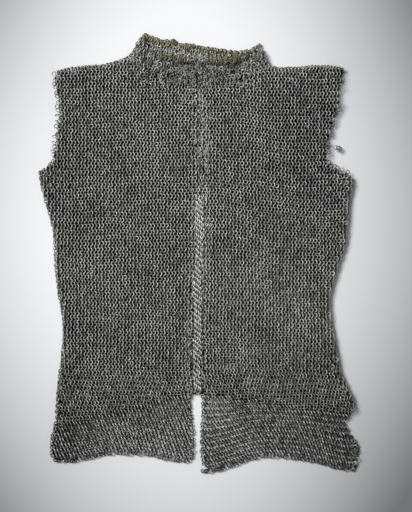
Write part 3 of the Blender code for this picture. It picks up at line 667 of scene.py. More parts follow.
def build_mail_tree():
    """Rings in staggered rows over a guide. Each row leans against the next, as linked mail does."""
    tree = bpy.data.node_groups.new("mail over a guide", "GeometryNodeTree")
    face = tree.interface
    face.new_socket("Guide", in_out="INPUT", socket_type="NodeSocketGeometry")
    for name, value in MAIL_INPUTS.items():
        kind = SOCKET_KINDS[type(value)]
        socket = face.new_socket(name, in_out="INPUT", socket_type=kind)
        if value is not None:
            socket.default_value = value
    face.new_socket("Mail", in_out="OUTPUT", socket_type="NodeSocketGeometry")
    web = Web(tree)
    given = web.node("NodeGroupInput")
    ask = {socket.name: Signal(web, socket) for socket in given.outputs if socket.name}

    index = web.signal("GeometryNodeInputIndex")
    row = web.maths("FLOOR", index / ask["Columns"])
    column = index - row * ask["Columns"] + ask["First Column"]
    row = row + ask["First Row"]
    odd = web.maths("FLOORED_MODULO", row, 2.0)
    across = (column + odd * ask["Odd Shift"]) * ask["Pitch"]
    up = (row + odd * ask["Odd Rise"]) * ask["Row Pitch"]
    place = web.vector(across, up)

    def named(attribute, kind):
        settings = {"data_type": kind}
        return web.signal("GeometryNodeInputNamedAttribute", settings, {"Name": attribute})

    def sampled(value, kind="FLOAT_VECTOR", output=0):
        values = {"Mesh": ask["Guide"], "Value": value}
        values["UV Map"] = named("weave", "FLOAT_VECTOR")
        values["Sample UV"] = place
        return web.signal("GeometryNodeSampleUVSurface", {"data_type": kind}, values, output)

    def random(low, high, salt):
        values = {2: low, 3: high, "ID": index, "Seed": ask["Seed"] + salt}
        return web.signal("FunctionNodeRandomValue", {"data_type": "FLOAT"}, values, 1)

    def stored(geometry, name, value, kind="FLOAT", domain="POINT"):
        settings = {"data_type": kind, "domain": domain}
        values = {"Geometry": geometry, "Name": name, "Value": value}
        return web.signal("GeometryNodeStoreNamedAttribute", settings, values)

    on_guide = sampled(web.signal("GeometryNodeInputPosition"))
    is_there = sampled(web.signal("GeometryNodeInputPosition"), output=1)
    zone = sampled(named("zone", "FLOAT_VECTOR"))
    held = web.vector_maths("MAXIMUM", zone, ask["Zone From"])
    held = web.vector_maths("MINIMUM", held, ask["Zone To"])
    off_zone = web.vector_maths("DISTANCE", zone, held, 1)
    settings = {"data_type": "FLOAT", "operation": "LESS_EQUAL"}
    in_zone = web.signal("FunctionNodeCompare", settings, {0: off_zone, 1: SAME_ZONE})
    settings = {"data_type": "FLOAT", "operation": "GREATER_EQUAL"}
    kept = {0: random(0.0, 1.0, 10), 1: ask["Gaps"]}
    kept = web.signal("FunctionNodeCompare", settings, kept)
    both = {"operation": "AND"}
    chosen = web.signal("FunctionNodeBooleanMath", both, {0: is_there, 1: in_zone})
    chosen = web.signal("FunctionNodeBooleanMath", both, {0: chosen, 1: kept})
    looseness = sampled(named("looseness", "FLOAT"), "FLOAT")

    outward = sampled(named("outward", "FLOAT_VECTOR"))
    shake = web.vector(*(random(-1.0, 1.0, salt) for salt in (1, 2, 3)))
    play = ask["Play"] * (1.0 + looseness * SLACK_GAIN)
    shake = web.vector_maths("MULTIPLY", shake, web.vector(play, play, play))
    spot_of_ring = web.vector_maths("ADD", on_guide, shake)
    lift = (0.5 - odd) * ask["Row Lift"]
    lift = web.vector_maths("MULTIPLY", outward, web.vector(lift, lift, lift))
    spot_of_ring = web.vector_maths("ADD", spot_of_ring, lift)

    spread = ask["Lean Spread"] * (1.0 + looseness * SLACK_GAIN)
    lean = odd * (ask["Lean"] + ask["Odd Lean"]) - ask["Lean"] + random(-1.0, 1.0, 4) * spread
    pitch = random(-1.0, 1.0, 5) * spread * PITCH_SHARE
    turn = ask["Turn"] + random(-1.0, 1.0, 6) * spread
    tilt = web.signal("FunctionNodeEulerToRotation", values={0: web.vector(pitch, lean, turn)})
    axes = {0: outward, 1: sampled(named("along", "FLOAT_VECTOR"))}
    settings = {"primary_axis": "Z", "secondary_axis": "X"}
    facing = web.signal("FunctionNodeAxesToRotation", settings, axes)
    local = {"rotation_space": "LOCAL"}
    facing = web.signal("FunctionNodeRotateRotation", local, {0: facing, 1: tilt})
    spin = web.vector(z=random(0.0, math.tau, 7))
    spin = web.signal("FunctionNodeEulerToRotation", values={0: spin})
    facing = web.signal("FunctionNodeRotateRotation", local, {0: facing, 1: spin})

    hoop = {"Resolution": ask["Ring Sides"], "Radius": (ask["Ring Width"] - ask["Wire Width"]) * 0.5}
    hoop = web.signal("GeometryNodeCurvePrimitiveCircle", {"mode": "RADIUS"}, hoop)
    section = {"Resolution": ask["Wire Sides"], "Radius": ask["Wire Width"] * 0.5}
    section = web.signal("GeometryNodeCurvePrimitiveCircle", {"mode": "RADIUS"}, section)
    lap = 1.0 + LAP_SWELL * web.maths("LESS_THAN", index, 0.5)
    ring = {"Curve": hoop, "Profile Curve": section, "Scale": lap}
    ring = web.signal("GeometryNodeCurveToMesh", values=ring)
    ring = web.signal("GeometryNodeSetShadeSmooth", values={"Geometry": ring})

    dots = web.signal("GeometryNodePoints", values={"Count": ask["Columns"] * ask["Rows"]})
    dots = web.signal("GeometryNodeSetPosition", values={"Geometry": dots, "Position": spot_of_ring})
    dots = stored(dots, "tone", random(0.0, 1.0, 8))
    dots = stored(dots, "ring_centre", on_guide, "FLOAT_VECTOR")
    dots = stored(dots, "ring_outward", outward, "FLOAT_VECTOR")
    size = random(*RING_SCALES, 9)
    mail = {"Points": dots, "Selection": chosen, "Instance": ring, "Rotation": facing, "Scale": size}
    mail = web.signal("GeometryNodeInstanceOnPoints", values=mail)
    mail = web.signal("GeometryNodeRealizeInstances", values={"Geometry": mail})
    # Each point's height over its ring's middle, which the materials turn into real wear and into
    # painted shade and highlight
    offset = web.vector_maths(
        "SUBTRACT", web.signal("GeometryNodeInputPosition"), named("ring_centre", "FLOAT_VECTOR")
    )
    height = web.vector_maths("DOT_PRODUCT", offset, named("ring_outward", "FLOAT_VECTOR"), 1)
    mail = stored(mail, "crest", height / (ask["Ring Width"] * CREST_SHARE))
    # Whether each face looks out of the mail or into it: the materials count depth from the inner side,
    # and on the back paint shade on the inner faces
    facing = web.signal("GeometryNodeInputNormal")
    facing = web.vector_maths("DOT_PRODUCT", facing, named("ring_outward", "FLOAT_VECTOR"), 1)
    mail = stored(mail, "facing", facing, domain="FACE")
    for label in ("ring_centre", "ring_outward"):
        mail = web.signal("GeometryNodeRemoveAttribute", values={"Geometry": mail, "Name": label})
    mail = web.signal("GeometryNodeSetMaterial", values={"Geometry": mail, "Material": ask["Material"]})
    web.node("NodeGroupOutput", values={0: mail})
    return tree


# Materials


def principled(name):
    """A new material's web, and its shader node."""
    material = bpy.data.materials.new(name)
    material.use_nodes = True
    return material, Web(material.node_tree), material.node_tree.nodes["Principled BSDF"]


def link(web, signal, shader, socket):
    web.tree.links.new(signal.socket, shader.inputs[socket])


def object_place(web):
    """The place on the object, and its first two parts."""
    place = web.signal("ShaderNodeTexCoord", output="Object")
    split = web.node("ShaderNodeSeparateXYZ", values={0: place})
    return place, Signal(web, split.outputs[0]), Signal(web, split.outputs[1])


# Wear and painted light: what a ring's depth (real wear on the crests, with painted shade in the
# depths and painted highlight on the crests), its own tone, patches, grain and its place (darker
# toward the sides, the right and low down, a little lighter going up) add to how worn and lit it
# looks, and the places of the three colours from the least to the most worn and lit

WEAR_AND_SHADING_LEVEL = 0.44
SHADE_AND_WEAR_BY_HEIGHT = 0.36
RUBBED_BY_TONE = 0.28
RUBBED_BY_PATCH = 0.30
RUBBED_BY_GRAIN = 0.30
DARKER_ACROSS = (0.08, 1.3)
LIGHTER_UP = 0.02
DARKER_BELOW = -0.12
DARKER_BELOW_MOST = 0.07
RAMP_PLACES = (0.16, 0.50, 0.90)
ROUGHNESS = (0.66, 0.14, 0.20)
BARE_METAL = (2.0, 0.5, 0.6)
TURNED = (-5.0, 0.5)


def worn_shaded_mail(name, deep, middle, crest, inside=None):
    """Old ring metal, dark in the depth of the weave and bright where it stands proud: partly real
    wear, and partly painted shade in the depths and painted highlight on the crests.

    A face on the inner side of the shirt counts its depth from there, and may take other colours,
    which on the back are painted shade for the inside of the shirt.
    """
    material, web, shader = principled(name)
    place, x, y = object_place(web)
    tone, height, facing = (
        web.signal("ShaderNodeAttribute", {"attribute_name": name}, output="Fac")
        for name in ("tone", "crest", "facing")
    )
    turned = web.clamped(facing * TURNED[0] - TURNED[1], 0.0, 1.0)
    height = height * (1.0 - turned * 2.0)
    patches = {"Vector": place, "Scale": 14.0, "Detail": 3.0}
    patches = web.signal("ShaderNodeTexNoise", values=patches)
    grain = {"Vector": place, "Scale": 900.0, "Detail": 2.0}
    grain = web.signal("ShaderNodeTexNoise", values=grain)
    # The depth term is partly real wear and partly painted shade in the hollows and painted highlight
    # on the crests
    wear_and_shading = height * SHADE_AND_WEAR_BY_HEIGHT + WEAR_AND_SHADING_LEVEL + (tone - 0.5) * RUBBED_BY_TONE
    wear_and_shading = wear_and_shading + (patches - 0.5) * RUBBED_BY_PATCH + (grain - 0.5) * RUBBED_BY_GRAIN
    # Darker low down, toward the sides and toward the right, and a little lighter going up
    darker_low = web.clamped(DARKER_BELOW - y, 0.0, DARKER_BELOW_MOST)
    wear_and_shading = wear_and_shading - x * DARKER_ACROSS[0] - x * x * DARKER_ACROSS[1] + y * LIGHTER_UP - darker_low
    color = web.ramp(wear_and_shading, list(zip(RAMP_PLACES, (deep, middle, crest))))
    # Faces turned into the shirt take the inside colours, which on the back are painted shade
    if inside:
        other = web.ramp(wear_and_shading, list(zip(RAMP_PLACES, inside)))
        color = web.mix(turned, color, other)
    link(web, color, shader, "Base Color")
    rough, smoother, uneven = ROUGHNESS
    link(web, rough - wear_and_shading * smoother + (grain - 0.5) * uneven, shader, "Roughness")
    gain, start, most = BARE_METAL
    link(web, web.clamped(wear_and_shading * gain - start, 0.0, most), shader, "Metallic")
    shader.inputs["Specular IOR Level"].default_value = 0.08
    bump = {"Strength": 0.25, "Distance": 0.0002, "Height": grain}
    link(web, web.signal("ShaderNodeBump", values=bump), shader, "Normal")
    return material


# The deep colour, near black, is painted shade in the depth of the weave, and the crest colour is
# partly painted highlight
STEEL_COLORS = ((0.004, 0.004, 0.004), (0.225, 0.225, 0.209), (0.68, 0.68, 0.635))
STEEL = worn_shaded_mail("steel_mail_worn_shaded", *STEEL_COLORS)
# A darker copy of the steel, painted shade, for the tails, their drop to the floor, the chains and the
# ragged rings
SHADED_TAIL_STEEL = worn_shaded_mail(
    "steel_mail_tail_shaded", (0.006, 0.006, 0.005), (0.080, 0.081, 0.077), (0.58, 0.58, 0.55)
)
# A brighter copy of the steel, painted light, for the rings pulled aslant in the opening
LIT_EDGE_STEEL = worn_shaded_mail(
    "steel_mail_edge_lit", (0.040, 0.040, 0.038), (0.40, 0.40, 0.385), (0.90, 0.90, 0.87)
)
NECK_STEEL = worn_shaded_mail(
    "steel_mail_neck", (0.030, 0.030, 0.029), (0.165, 0.166, 0.157), (0.46, 0.46, 0.44)
)
# Painted shade for the back's faces that look into the shirt, where the inside lies in shadow
BACK_INSIDE_SHADE = ((0.002, 0.002, 0.002), (0.010, 0.010, 0.009), (0.030, 0.030, 0.028))
BACK_STEEL = worn_shaded_mail("steel_mail_back", *STEEL_COLORS, BACK_INSIDE_SHADE)
BRASS = worn_shaded_mail(
    "brass_mail_worn_shaded", (0.014, 0.012, 0.008), (0.170, 0.155, 0.106), (0.40, 0.365, 0.25)
)

MAIL_TREE = build_mail_tree()


def lay_mail(name, guide, material=STEEL, body="shirt", replaces=(), bend=None, zone=None, **sizes):
    """One piece of mail on a guide, which rides on its body, or for a bend stays where it is, on no
    body.

    A zone keeps what lies past the lapel's hinge, past the tail's hinge and at a level, in ranges.
    """
    if zone:
        sizes["zone_from"], sizes["zone_to"] = zip(*zone)
    carrier = bpy.data.objects.new(name + "_guide", guide)
    bpy.context.scene.collection.objects.link(carrier)
    modifier = carrier.modifiers.new("mail", "NODES")
    modifier.node_group = MAIL_TREE
    wanted = {"Material": material}
    wanted.update({key.replace("_", " ").title(): value for key, value in sizes.items()})
    for item in MAIL_TREE.interface.items_tree:
        if item.in_out == "INPUT" and item.name in wanted:
            modifier[item.identifier] = wanted.pop(item.name)
    assert not wanted, wanted
    graph = bpy.context.evaluated_depsgraph_get()
    mesh = bpy.data.meshes.new_from_object(carrier.evaluated_get(graph))
    bpy.data.objects.remove(carrier)
    mesh.name = name
    piece = bpy.data.objects.new(name, mesh)
    bpy.context.scene.collection.objects.link(piece)
    if bend:
        hinge, moving = bend
        start, end = hinge.bend_ends()
        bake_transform(piece)
    else:
        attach(piece, body)
    if replaces:
        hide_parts(*replaces)


# The front halves, each with its lapel, wing and tail


def front_inset(path):
    """How far ring centres stay inside the front edges: further at the slit, for its chain."""
    x, y = path[:, :1], path[:, 1:]
    flare = SLIT_FLARE * bell(y, level(SLIT_TOP_share), SLIT_FLARE_REACH) * (x < 0)
    return FRONT_INSET + swell(-y, HEM_INSET - FRONT_INSET, start=0.250, run=0.020) + flare


def front_outline_left():
    """Where the ring centres of the left half may lie, counterclockwise."""
    side = moved_in(FOLDS["left_side_fold"], FOLD_RADIUS)
    outer = moved_in(smooth_path(LEFT_TAIL_OUTER_shares), HEM_INSET)
    hem = moved_in(trimmed(LEFT_HEM, FREE_TRIM, FREE_TRIM), HEM_INSET)
    front = trimmed(smooth_path(LEFT_FRONT_shares), FREE_TRIM, 0)
    front = moved_in(front, front_inset(front))
    wing = moved_in(smooth_path(LEFT_WING_TOP_shares), WING_INSET)
    neck = trimmed(np.vstack([LEFT_COLLAR[:-1], LEFT_SHOULDER]), FOLD_TRIM, FOLD_TRIM)
    neck = moved_in(neck, FOLD_RADIUS)
    strap = [spot(LEFT_STRAP_shares)]
    return np.vstack([side, outer, hem, front, wing, strap, neck, LEFT_ARM_LINE])


def front_outline_right():
    """Where the ring centres of the right half may lie, counterclockwise."""
    front = trimmed(smooth_path(RIGHT_FRONT_shares), 0, FREE_TRIM)
    front = moved_in(front, front_inset(front))
    hem = moved_in(trimmed(RIGHT_HEM, FREE_TRIM, FREE_TRIM), HEM_INSET)
    outer = moved_in(trimmed(smooth_path(RIGHT_TAIL_OUTER_shares), FOLD_TRIM, 0), EDGE_INSET)
    side = moved_in(FOLDS["right_side_fold"], FOLD_RADIUS)
    neck = trimmed(np.vstack([RIGHT_SHOULDER[:-1], RIGHT_COLLAR]), FOLD_TRIM, FOLD_TRIM)
    neck = moved_in(neck, FOLD_RADIUS)
    strap = [spot(RIGHT_STRAP_shares)]
    wing = moved_in(smooth_path(RIGHT_WING_TOP_shares), WING_INSET)
    return np.vstack([front, hem, outer, side, RIGHT_ARM_LINE, neck, strap, wing])


def drop_height(plan, tail):
    """How high the front mail lies: over the back, then down to the floor past the tail's hinge."""
    sooner = SLIT_DROP * bell(plan[:, 0], middle=-0.003, reach=0.025)
    dropped = 1 - eased(tail.reach(plan), TAIL_DROP_START - sooner, TAIL_DROP_RUN)
    return BACK_LEVEL + (FRONT_LEVEL - BACK_LEVEL) * dropped, dropped


def front_guide(outline, lapel, tail, slant, spread):
    """The guide of one front half, with the mail's height over the back and down the tail."""
    plan, triangles = filled(outline)
    x, y = plan.T
    rim = np.vstack([outline, outline[:1]])
    fade = eased(distance_to_path(plan, rim), 0, CREASE_FADE)
    crease = np.sin(math.tau * (y + x / 3) / CREASE_LENGTH)
    crease = crease * np.cos(math.pi * (x - y / 4) / CREASE_LENGTH)
    height, dropped = drop_height(plan, tail)
    if tail is LEFT_TAIL_HINGE:
        ramp = spot(LEFT_TAIL_OUTER_shares[1])[0] + TUCK_WIDTH
        over = OVER_TUCK * (1 - eased(x, ramp, TUCK_RAMP)) * eased(tail.reach(plan), 0, TUCK_END)
        height = np.maximum(height, BACK_LEVEL + over)
    height += CREASE_HEIGHT * fade * (1 + crease) / 2 * dropped
    points = np.column_stack([plan, height])
    past_foot = (y - level(LAPEL_FOOT_share)) * 10 - STRIP_HALF
    zone = np.column_stack([np.minimum(lapel.reach(plan), past_foot), tail.reach(plan), y])
    weave = weave_at(plan)
    past_slant = np.maximum(SLANT_TOP - y, 0)
    past_spread = np.maximum(SPREAD_TOP - y, 0)
    slanting = slant * (1 - swell(x, height=0.4, start=0.140, run=0.160))
    weave[:, 0] -= gained(past_slant, slanting)
    weave[:, 1] += gained(past_spread, spread)
    weave[:, 1] -= gained(past_slant, TAIL_SQUEEZE)
    slack = OPENING_SLACK + swell(y, height=0.65, start=0.24, run=0.06)
    looseness = bell(x, middle=-0.001, reach=0.012) * slack
    looseness = np.maximum(looseness, NECK_SLACK * near_neck(x, y))
    for corner in UNDERARM_shares:
        away = np.linalg.norm(plan - spot(corner), axis=1)
        looseness = np.maximum(looseness, UNDERARM_SLACK * bell(away, 0, UNDERARM_REACH))
    return make_guide(points, triangles, weave, zone, looseness)


def lay_half(side, guide, lapel_hinge, tail_hinge):
    """All the mail of one front half: fixed bands, lapel, wing, tail and their bends."""
    wing_foot = level(WING_FOOT_share)
    for band, levels in BANDS.items():
        replaces = [f"front_{side}_panel"] if band == "chest" else []
        lay_mail(
            f"{side}_{band}_mail", guide, replaces=replaces,
            zone=(FIXED, FIXED, levels),
        )
    lay_mail(
        f"{side}_lapel_bend_mail", guide, bend=(lapel_hinge, f"{side}_lapel"),
        zone=(BENT, FIXED, ANY),
    )
    lay_mail(
        f"{side}_lapel_mail", guide, body=f"{side}_lapel", replaces=[f"{side}_lapel_panel"],
        zone=(MOVED, FIXED, (-FAR, wing_foot)),
    )
    lay_mail(
        f"{side}_wing_mail", guide, NECK_STEEL, body=f"{side}_lapel", replaces=[f"{side}_collar_wing"],
        zone=(MOVED, FIXED, (wing_foot, FAR)), **COLLAR_MESH,
    )
    lay_mail(
        f"{side}_tail_bend_mail", guide, bend=(tail_hinge, f"{side}_tail"),
        zone=(ANY, (-STRIP_HALF, DROP_START), ANY),
    )
    lay_mail(
        f"{side}_tail_drop_mail", guide, SHADED_TAIL_STEEL, bend=(tail_hinge, f"{side}_tail"),
        zone=(ANY, (DROP_START, STRIP_HALF), ANY), **TAIL_MESH[side],
    )
    lay_mail(
        f"{side}_tail_mail", guide, SHADED_TAIL_STEEL, body=f"{side}_tail", replaces=[f"{side}_tail_panel"],
        zone=(ANY, MOVED, ANY), **TAIL_MESH[side],
    )


STEEP = {"lean": math.radians(60), "odd_lean": math.radians(60), "wire_width": 0.0022}
TAIL_MESH = {
    "left": {**STEEP, "turn": math.radians(22), "odd_shift": 0.56, "odd_rise": 0.15},
    "right": {**STEEP, "turn": math.radians(31), "odd_shift": 0.62, "odd_rise": 0.20},
}
COLLAR_MESH = {"ring_width": 0.0077, "pitch": 0.0052, "row_pitch": 0.0044}
CHEST_FOOT = 0.13
WAIST_FOOT = -0.07
BANDS = {"chest": (CHEST_FOOT, FAR), "waist": (WAIST_FOOT, CHEST_FOOT), "hip": (-FAR, WAIST_FOOT)}
LEFT_GUIDE = front_guide(
    front_outline_left(), LEFT_LAPEL_HINGE, LEFT_TAIL_HINGE, slant=0.40, spread=0.0
)
lay_half("left", LEFT_GUIDE, LEFT_LAPEL_HINGE, LEFT_TAIL_HINGE)
RIGHT_GUIDE = front_guide(
    front_outline_right(), RIGHT_LAPEL_HINGE, RIGHT_TAIL_HINGE, slant=0.60, spread=0.05
)
lay_half("right", RIGHT_GUIDE, RIGHT_LAPEL_HINGE, RIGHT_TAIL_HINGE)

# Turned edges

FOLD_WIRE = 0.0021
for name, path in FOLDS.items():
    lay_mail(name + "_mail", fold_guide(path), replaces=[name], wire_width=FOLD_WIRE)

TUCK_TOP_shares = [(-0.449, 0.116), (-0.454, 0.098)]
TUCK_WAVE = 0.22
TUCK_WAVE_RATE = 330
TUCK_PATH = smooth_path(TUCK_TOP_shares + LEFT_TAIL_OUTER_shares[1:], FINE_STEP)
TUCK_UNDER = 1 + TUCK_WAVE * np.sin(TUCK_PATH[:, 1:] * TUCK_WAVE_RATE)
TUCK_UNDER = (TUCK_WIDTH - TUCK_RADIUS) * TUCK_UNDER
TUCK_GUIDE = fold_guide(TUCK_PATH, TUCK_RADIUS, TUCK_REACH, BACK_LEVEL + OVER_TUCK, TUCK_UNDER)
lay_mail(
    "left_tail_tuck_mail", TUCK_GUIDE, body="left_tail", replaces=["left_tail_tuck"],
    wire_width=FOLD_WIRE,
)

# The back, which shows through the front opening and from below


BACK_SHIFT = (0.0025, 0.0012)
BACK_MESH = {"ring_sides": 8, "wire_sides": 3, "wire_width": 0.0026, "seed": 50}


def back_weave(plan):
    """The mail of the back, whose outer side is underneath, so its rows run the other way."""
    return weave_at(plan) * (-1, 1) + BACK_SHIFT


def back_outline():
    """Where the ring centres of the back may lie, counterclockwise."""
    hem = smooth_path(BACK_HEM_shares)
    raised = BACK_HEM_RAISE * bell(hem[:, :1], middle=-0.003, reach=0.014)
    hem = moved_in(hem, EDGE_INSET + raised)
    side = moved_in(FOLDS["right_side_fold"], FOLD_RADIUS)
    right_shoulder = moved_in(FOLDS["right_shoulder_fold"], FOLD_RADIUS)
    left_shoulder = moved_in(FOLDS["left_shoulder_fold"], FOLD_RADIUS)
    return np.vstack([
        moved_in(LEFT_SIDE, FOLD_RADIUS), hem, side, RIGHT_ARM_LINE, right_shoulder,
        smooth_path(NECK_SEAM_shares), left_shoulder, LEFT_ARM_LINE,
    ])


BACK_GUIDE = flat_guide(back_outline(), BACK_STEP, back_weave)
for band, levels in BANDS.items():
    replaces = ["back_panel"] if band == "chest" else []
    lay_mail(
        f"back_{band}_mail", BACK_GUIDE, BACK_STEEL, replaces=replaces, zone=(ANY, ANY, levels),
        **BACK_MESH,
    )


COLLAR_TOP_TRIM = 0.008
COLLAR_TOP_INSET = 0.0068
COLLAR_SLACK = 1.1


def back_collar_outline():
    """Where the ring centres of the collar's back half may lie, counterclockwise."""
    top = trimmed(smooth_path(BACK_COLLAR_TOP_shares), COLLAR_TOP_TRIM, COLLAR_TOP_TRIM)
    top = moved_in(top, COLLAR_TOP_INSET)
    left = moved_in(FOLDS["left_collar_fold"], FOLD_RADIUS)
    right = moved_in(FOLDS["right_collar_fold"], FOLD_RADIUS)
    return np.vstack([right, top, left, smooth_path(NECK_SEAM_shares)[::-1]])


guide = flat_guide(back_collar_outline(), GUIDE_STEP, weave_at, COLLAR_SLACK)
lay_mail("back_collar_mail", guide, replaces=["back_collar"], wire_width=0.0019, **COLLAR_MESH)

# Brass rows of the collar, and the free edge of the right tail

ROW = {"first_column": 0, "first_row": 0, "rows": 1}
ROWS = {**ROW, "rows": 2}


def lay_rows(name, path, height, looseness, material=STEEL, lines=1, **more):
    """Rows of rings that follow an edge, on a guide of their own."""
    lay_mail(name, edge_guide(path, height, lines, looseness), material, **more)


BRASS_ROWS = {
    **ROWS, "pitch": 0.0046, "wire_width": 0.0021, "lean": math.radians(38), "ring_width": 0.0084,
}
CLOSE_BRASS_ROWS = {**BRASS_ROWS, "pitch": 0.0036, "wire_width": 0.0023}
BACK_TOP_END_shares = [(-0.146, 0.995), (-0.170, 1.001)]
BACK_TOP_OUT = 0.0024
LEFT_TOP_OUT = 0.0098
RIGHT_TOP_OUT = 0.0102
BACK_TOP = smooth_path(BACK_COLLAR_TOP_shares[:-2] + BACK_TOP_END_shares)
FURTHER_OUT = swell(BACK_TOP[:, :1], height=0.0016, start=-0.060, run=0.030)
BACK_TOP = moved_in(BACK_TOP, -BACK_TOP_OUT - FURTHER_OUT)
LEFT_TOP = moved_in(smooth_path(LEFT_WING_TOP_shares), -LEFT_TOP_OUT)
RIGHT_TOP = moved_in(smooth_path(RIGHT_WING_TOP_shares), -RIGHT_TOP_OUT)

# Brass follows most of each wing's edge, and steel the end next to the opening

LEFT_BRASS = trimmed(LEFT_TOP, 0.009, 0)
LEFT_STEEL = trimmed(LEFT_TOP, 0, 0.048)
RIGHT_BRASS = trimmed(RIGHT_TOP, 0, 0.017)
RIGHT_STEEL = trimmed(RIGHT_TOP, 0.068, 0)
for name, path, height, body, sizes in (
    ("back_brass", BACK_TOP, BACK_LEVEL, "shirt", CLOSE_BRASS_ROWS),
    ("left_wing_brass", LEFT_BRASS, FRONT_LEVEL, "left_lapel", BRASS_ROWS),
    ("right_wing_brass", RIGHT_BRASS, FRONT_LEVEL, "right_lapel", BRASS_ROWS),
):
    replaces = [name + "_rings"]
    lay_rows(name + "_rows", path, height, 0.9, BRASS, 2, body=body, replaces=replaces, **sizes)
lay_rows("left_wing_steel_rows", LEFT_STEEL, FRONT_LEVEL, 2.2, lines=2, body="left_lapel", **ROWS)
lay_rows("right_wing_steel_rows", RIGHT_STEEL, FRONT_LEVEL, 2.2, lines=2, body="right_lapel", **ROWS)

# A small knob of brass rings on the collar, and three loose rings in the right armhole

KNOB = np.array([(-0.0400, 0.3880), (-0.0435, 0.3900), (-0.0475, 0.3885)])
KNOB_RISE = 0.002
LOOSE_RINGS = np.array([(0.2600, 0.1925), (0.2560, 0.1960), (0.2440, 0.1975)])
LOOSE_DROP = 0.006
lay_rows("back_collar_knob", KNOB, BACK_LEVEL + KNOB_RISE, 2.5, BRASS, **BRASS_ROWS)
height = FRONT_LEVEL - LOOSE_DROP
lay_rows("armhole_loose_rings", LOOSE_RINGS, height, 1.0, columns=3, lean=0.2, **ROW)

TAIL_EDGE = smooth_path(RIGHT_TAIL_OUTER_shares[:4])
lay_rows(
    "right_tail_edge_mail", TAIL_EDGE, BACK_LEVEL, 0.6, lines=2, body="right_tail",
    replaces=["right_tail_edge_rings"], **ROWS,
)

# Chains of single rings along the hems and round the slit

CHAIN = {
    **ROW, "lean": math.radians(34), "row_lift": 0.0, "wire_width": 0.0021, "pitch": 0.0061,
    "ring_width": 0.0082, "ring_sides": 12,
}
CHAIN_OUT = 0.0012
CHAIN_RISE = 0.0012
LEFT_SLIT = smooth_path([
    (-0.0140, 0.036), (-0.0135, 0.068), (-0.0170, 0.125), (-0.0235, 0.168), (-0.0240, 0.183),
])
RIGHT_SLIT = trimmed(smooth_path(RIGHT_FRONT_shares[-5:]), FREE_TRIM, CHAIN_TRIM)
for name, path, body, hinge in (
    ("left_hem", trimmed(LEFT_HEM, CHAIN_TRIM, CHAIN_TRIM), "left_tail", LEFT_TAIL_HINGE),
    ("right_hem", trimmed(RIGHT_HEM, CHAIN_TRIM, CHAIN_TRIM), "right_tail", RIGHT_TAIL_HINGE),
    ("left_slit", LEFT_SLIT, "left_tail", LEFT_TAIL_HINGE),
    ("right_slit", RIGHT_SLIT, "right_tail", RIGHT_TAIL_HINGE),
):
    edge = moved_in(path, -CHAIN_OUT)
    height = drop_height(edge, hinge)[0] + CHAIN_RISE
    lay_rows(name + "_chain", edge, height, 0.9, SHADED_TAIL_STEEL, body=body, **CHAIN)

SLIT_TOP = smooth_path([(-0.022, 0.181), (-0.004, 0.180), (0.013, 0.181)], step=0.004)
SLIT_TOP_RISE = 0.003
lay_rows("slit_top_chain", SLIT_TOP, BACK_LEVEL + SLIT_TOP_RISE, 1.5, **CHAIN)

# Ragged rings that stick out of the armholes and the side of the right tail

RAGGED = {
    **ROW, "gaps": 0.50, "lean": math.radians(30), "pitch": 0.0066, "wire_width": 0.0015,
    "ring_sides": 12,
}
RAGGED_OUT = 0.0026
ARMHOLE_DROP = 0.0035
ARMHOLE_LEVEL = FRONT_LEVEL - ARMHOLE_DROP
for name, path, height, body in (
    ("left_armhole_rings", LEFT_ARMHOLE, ARMHOLE_LEVEL, "shirt"),
    ("right_armhole_rings", RIGHT_ARMHOLE, ARMHOLE_LEVEL, "shirt"),
    ("right_tail_side_rings", TAIL_EDGE, BACK_LEVEL, "right_tail"),
):
    edge = moved_in(trimmed(path, FREE_TRIM, FREE_TRIM), -RAGGED_OUT)
    lay_rows(name, edge, height, 2.2, SHADED_TAIL_STEEL, body=body, **RAGGED)


RIBBON_STEP_share = 0.0125
RIBBON_SHIFT = 0.0034


def ribbon_guide(line, low, high, offsets, heights, looseness, drift=0.0, skew=0.0):
    """A guide beside a line up the shirt.

    A drift leans its columns to the right going up, and a skew tilts its rows.
    """
    offsets = np.array(offsets)
    rows = []
    for y in np.linspace(level(low), level(high), round((high - low) / RIBBON_STEP_share)):
        across = np.interp(y, line[:, 1], line[:, 0]) + offsets
        points = np.column_stack([across, np.full(len(offsets), y), heights])
        along = offsets + RIBBON_SHIFT - drift * y
        rows.append((points, np.column_stack([along, y + skew * offsets])))
    return strip_guide(rows, looseness)


# The border of the left half, which hangs into the opening, and its bright rings pulled aslant

LEFT_EDGE = smooth_path(LEFT_FRONT_shares[3:])
BORDER = ((-0.0120, -0.0020, 0.0080, 0.0160, 0.0240), (0.0094, 0.0116, 0.0124, 0.0122, 0.0104))
ASLANT_LINE = smooth_path([
    (-0.003, 0.150), (-0.004, 0.280), (-0.0015, 0.370), (-0.0045, 0.420), (-0.003, 0.465),
    (0.004, 0.510), (0.004, 0.560), (0.001, 0.640), (-0.002, 0.700),
])
ASLANT = ((-0.0068, 0.0, 0.0068), (0.0160, 0.0166, 0.0160))
ASLANT_TOP_share = 0.630
ASLANT_LEAN = math.radians(64)
ASLANT_MESH = {
    "lean": ASLANT_LEAN, "odd_lean": -ASLANT_LEAN, "turn": math.radians(-20), "pitch": 0.0044,
    "row_pitch": 0.0050, "odd_shift": 0.0, "row_lift": 0.0, "wire_width": 0.0020,
    "lean_spread": math.radians(4), "play": 0.0003, "seed": 9,
}
BORDER_PARTS = {
    "lower": (0.192, LAPEL_FOOT_share, "shirt"),
    "upper": (LAPEL_FOOT_share, 0.900, "left_lapel"),
}
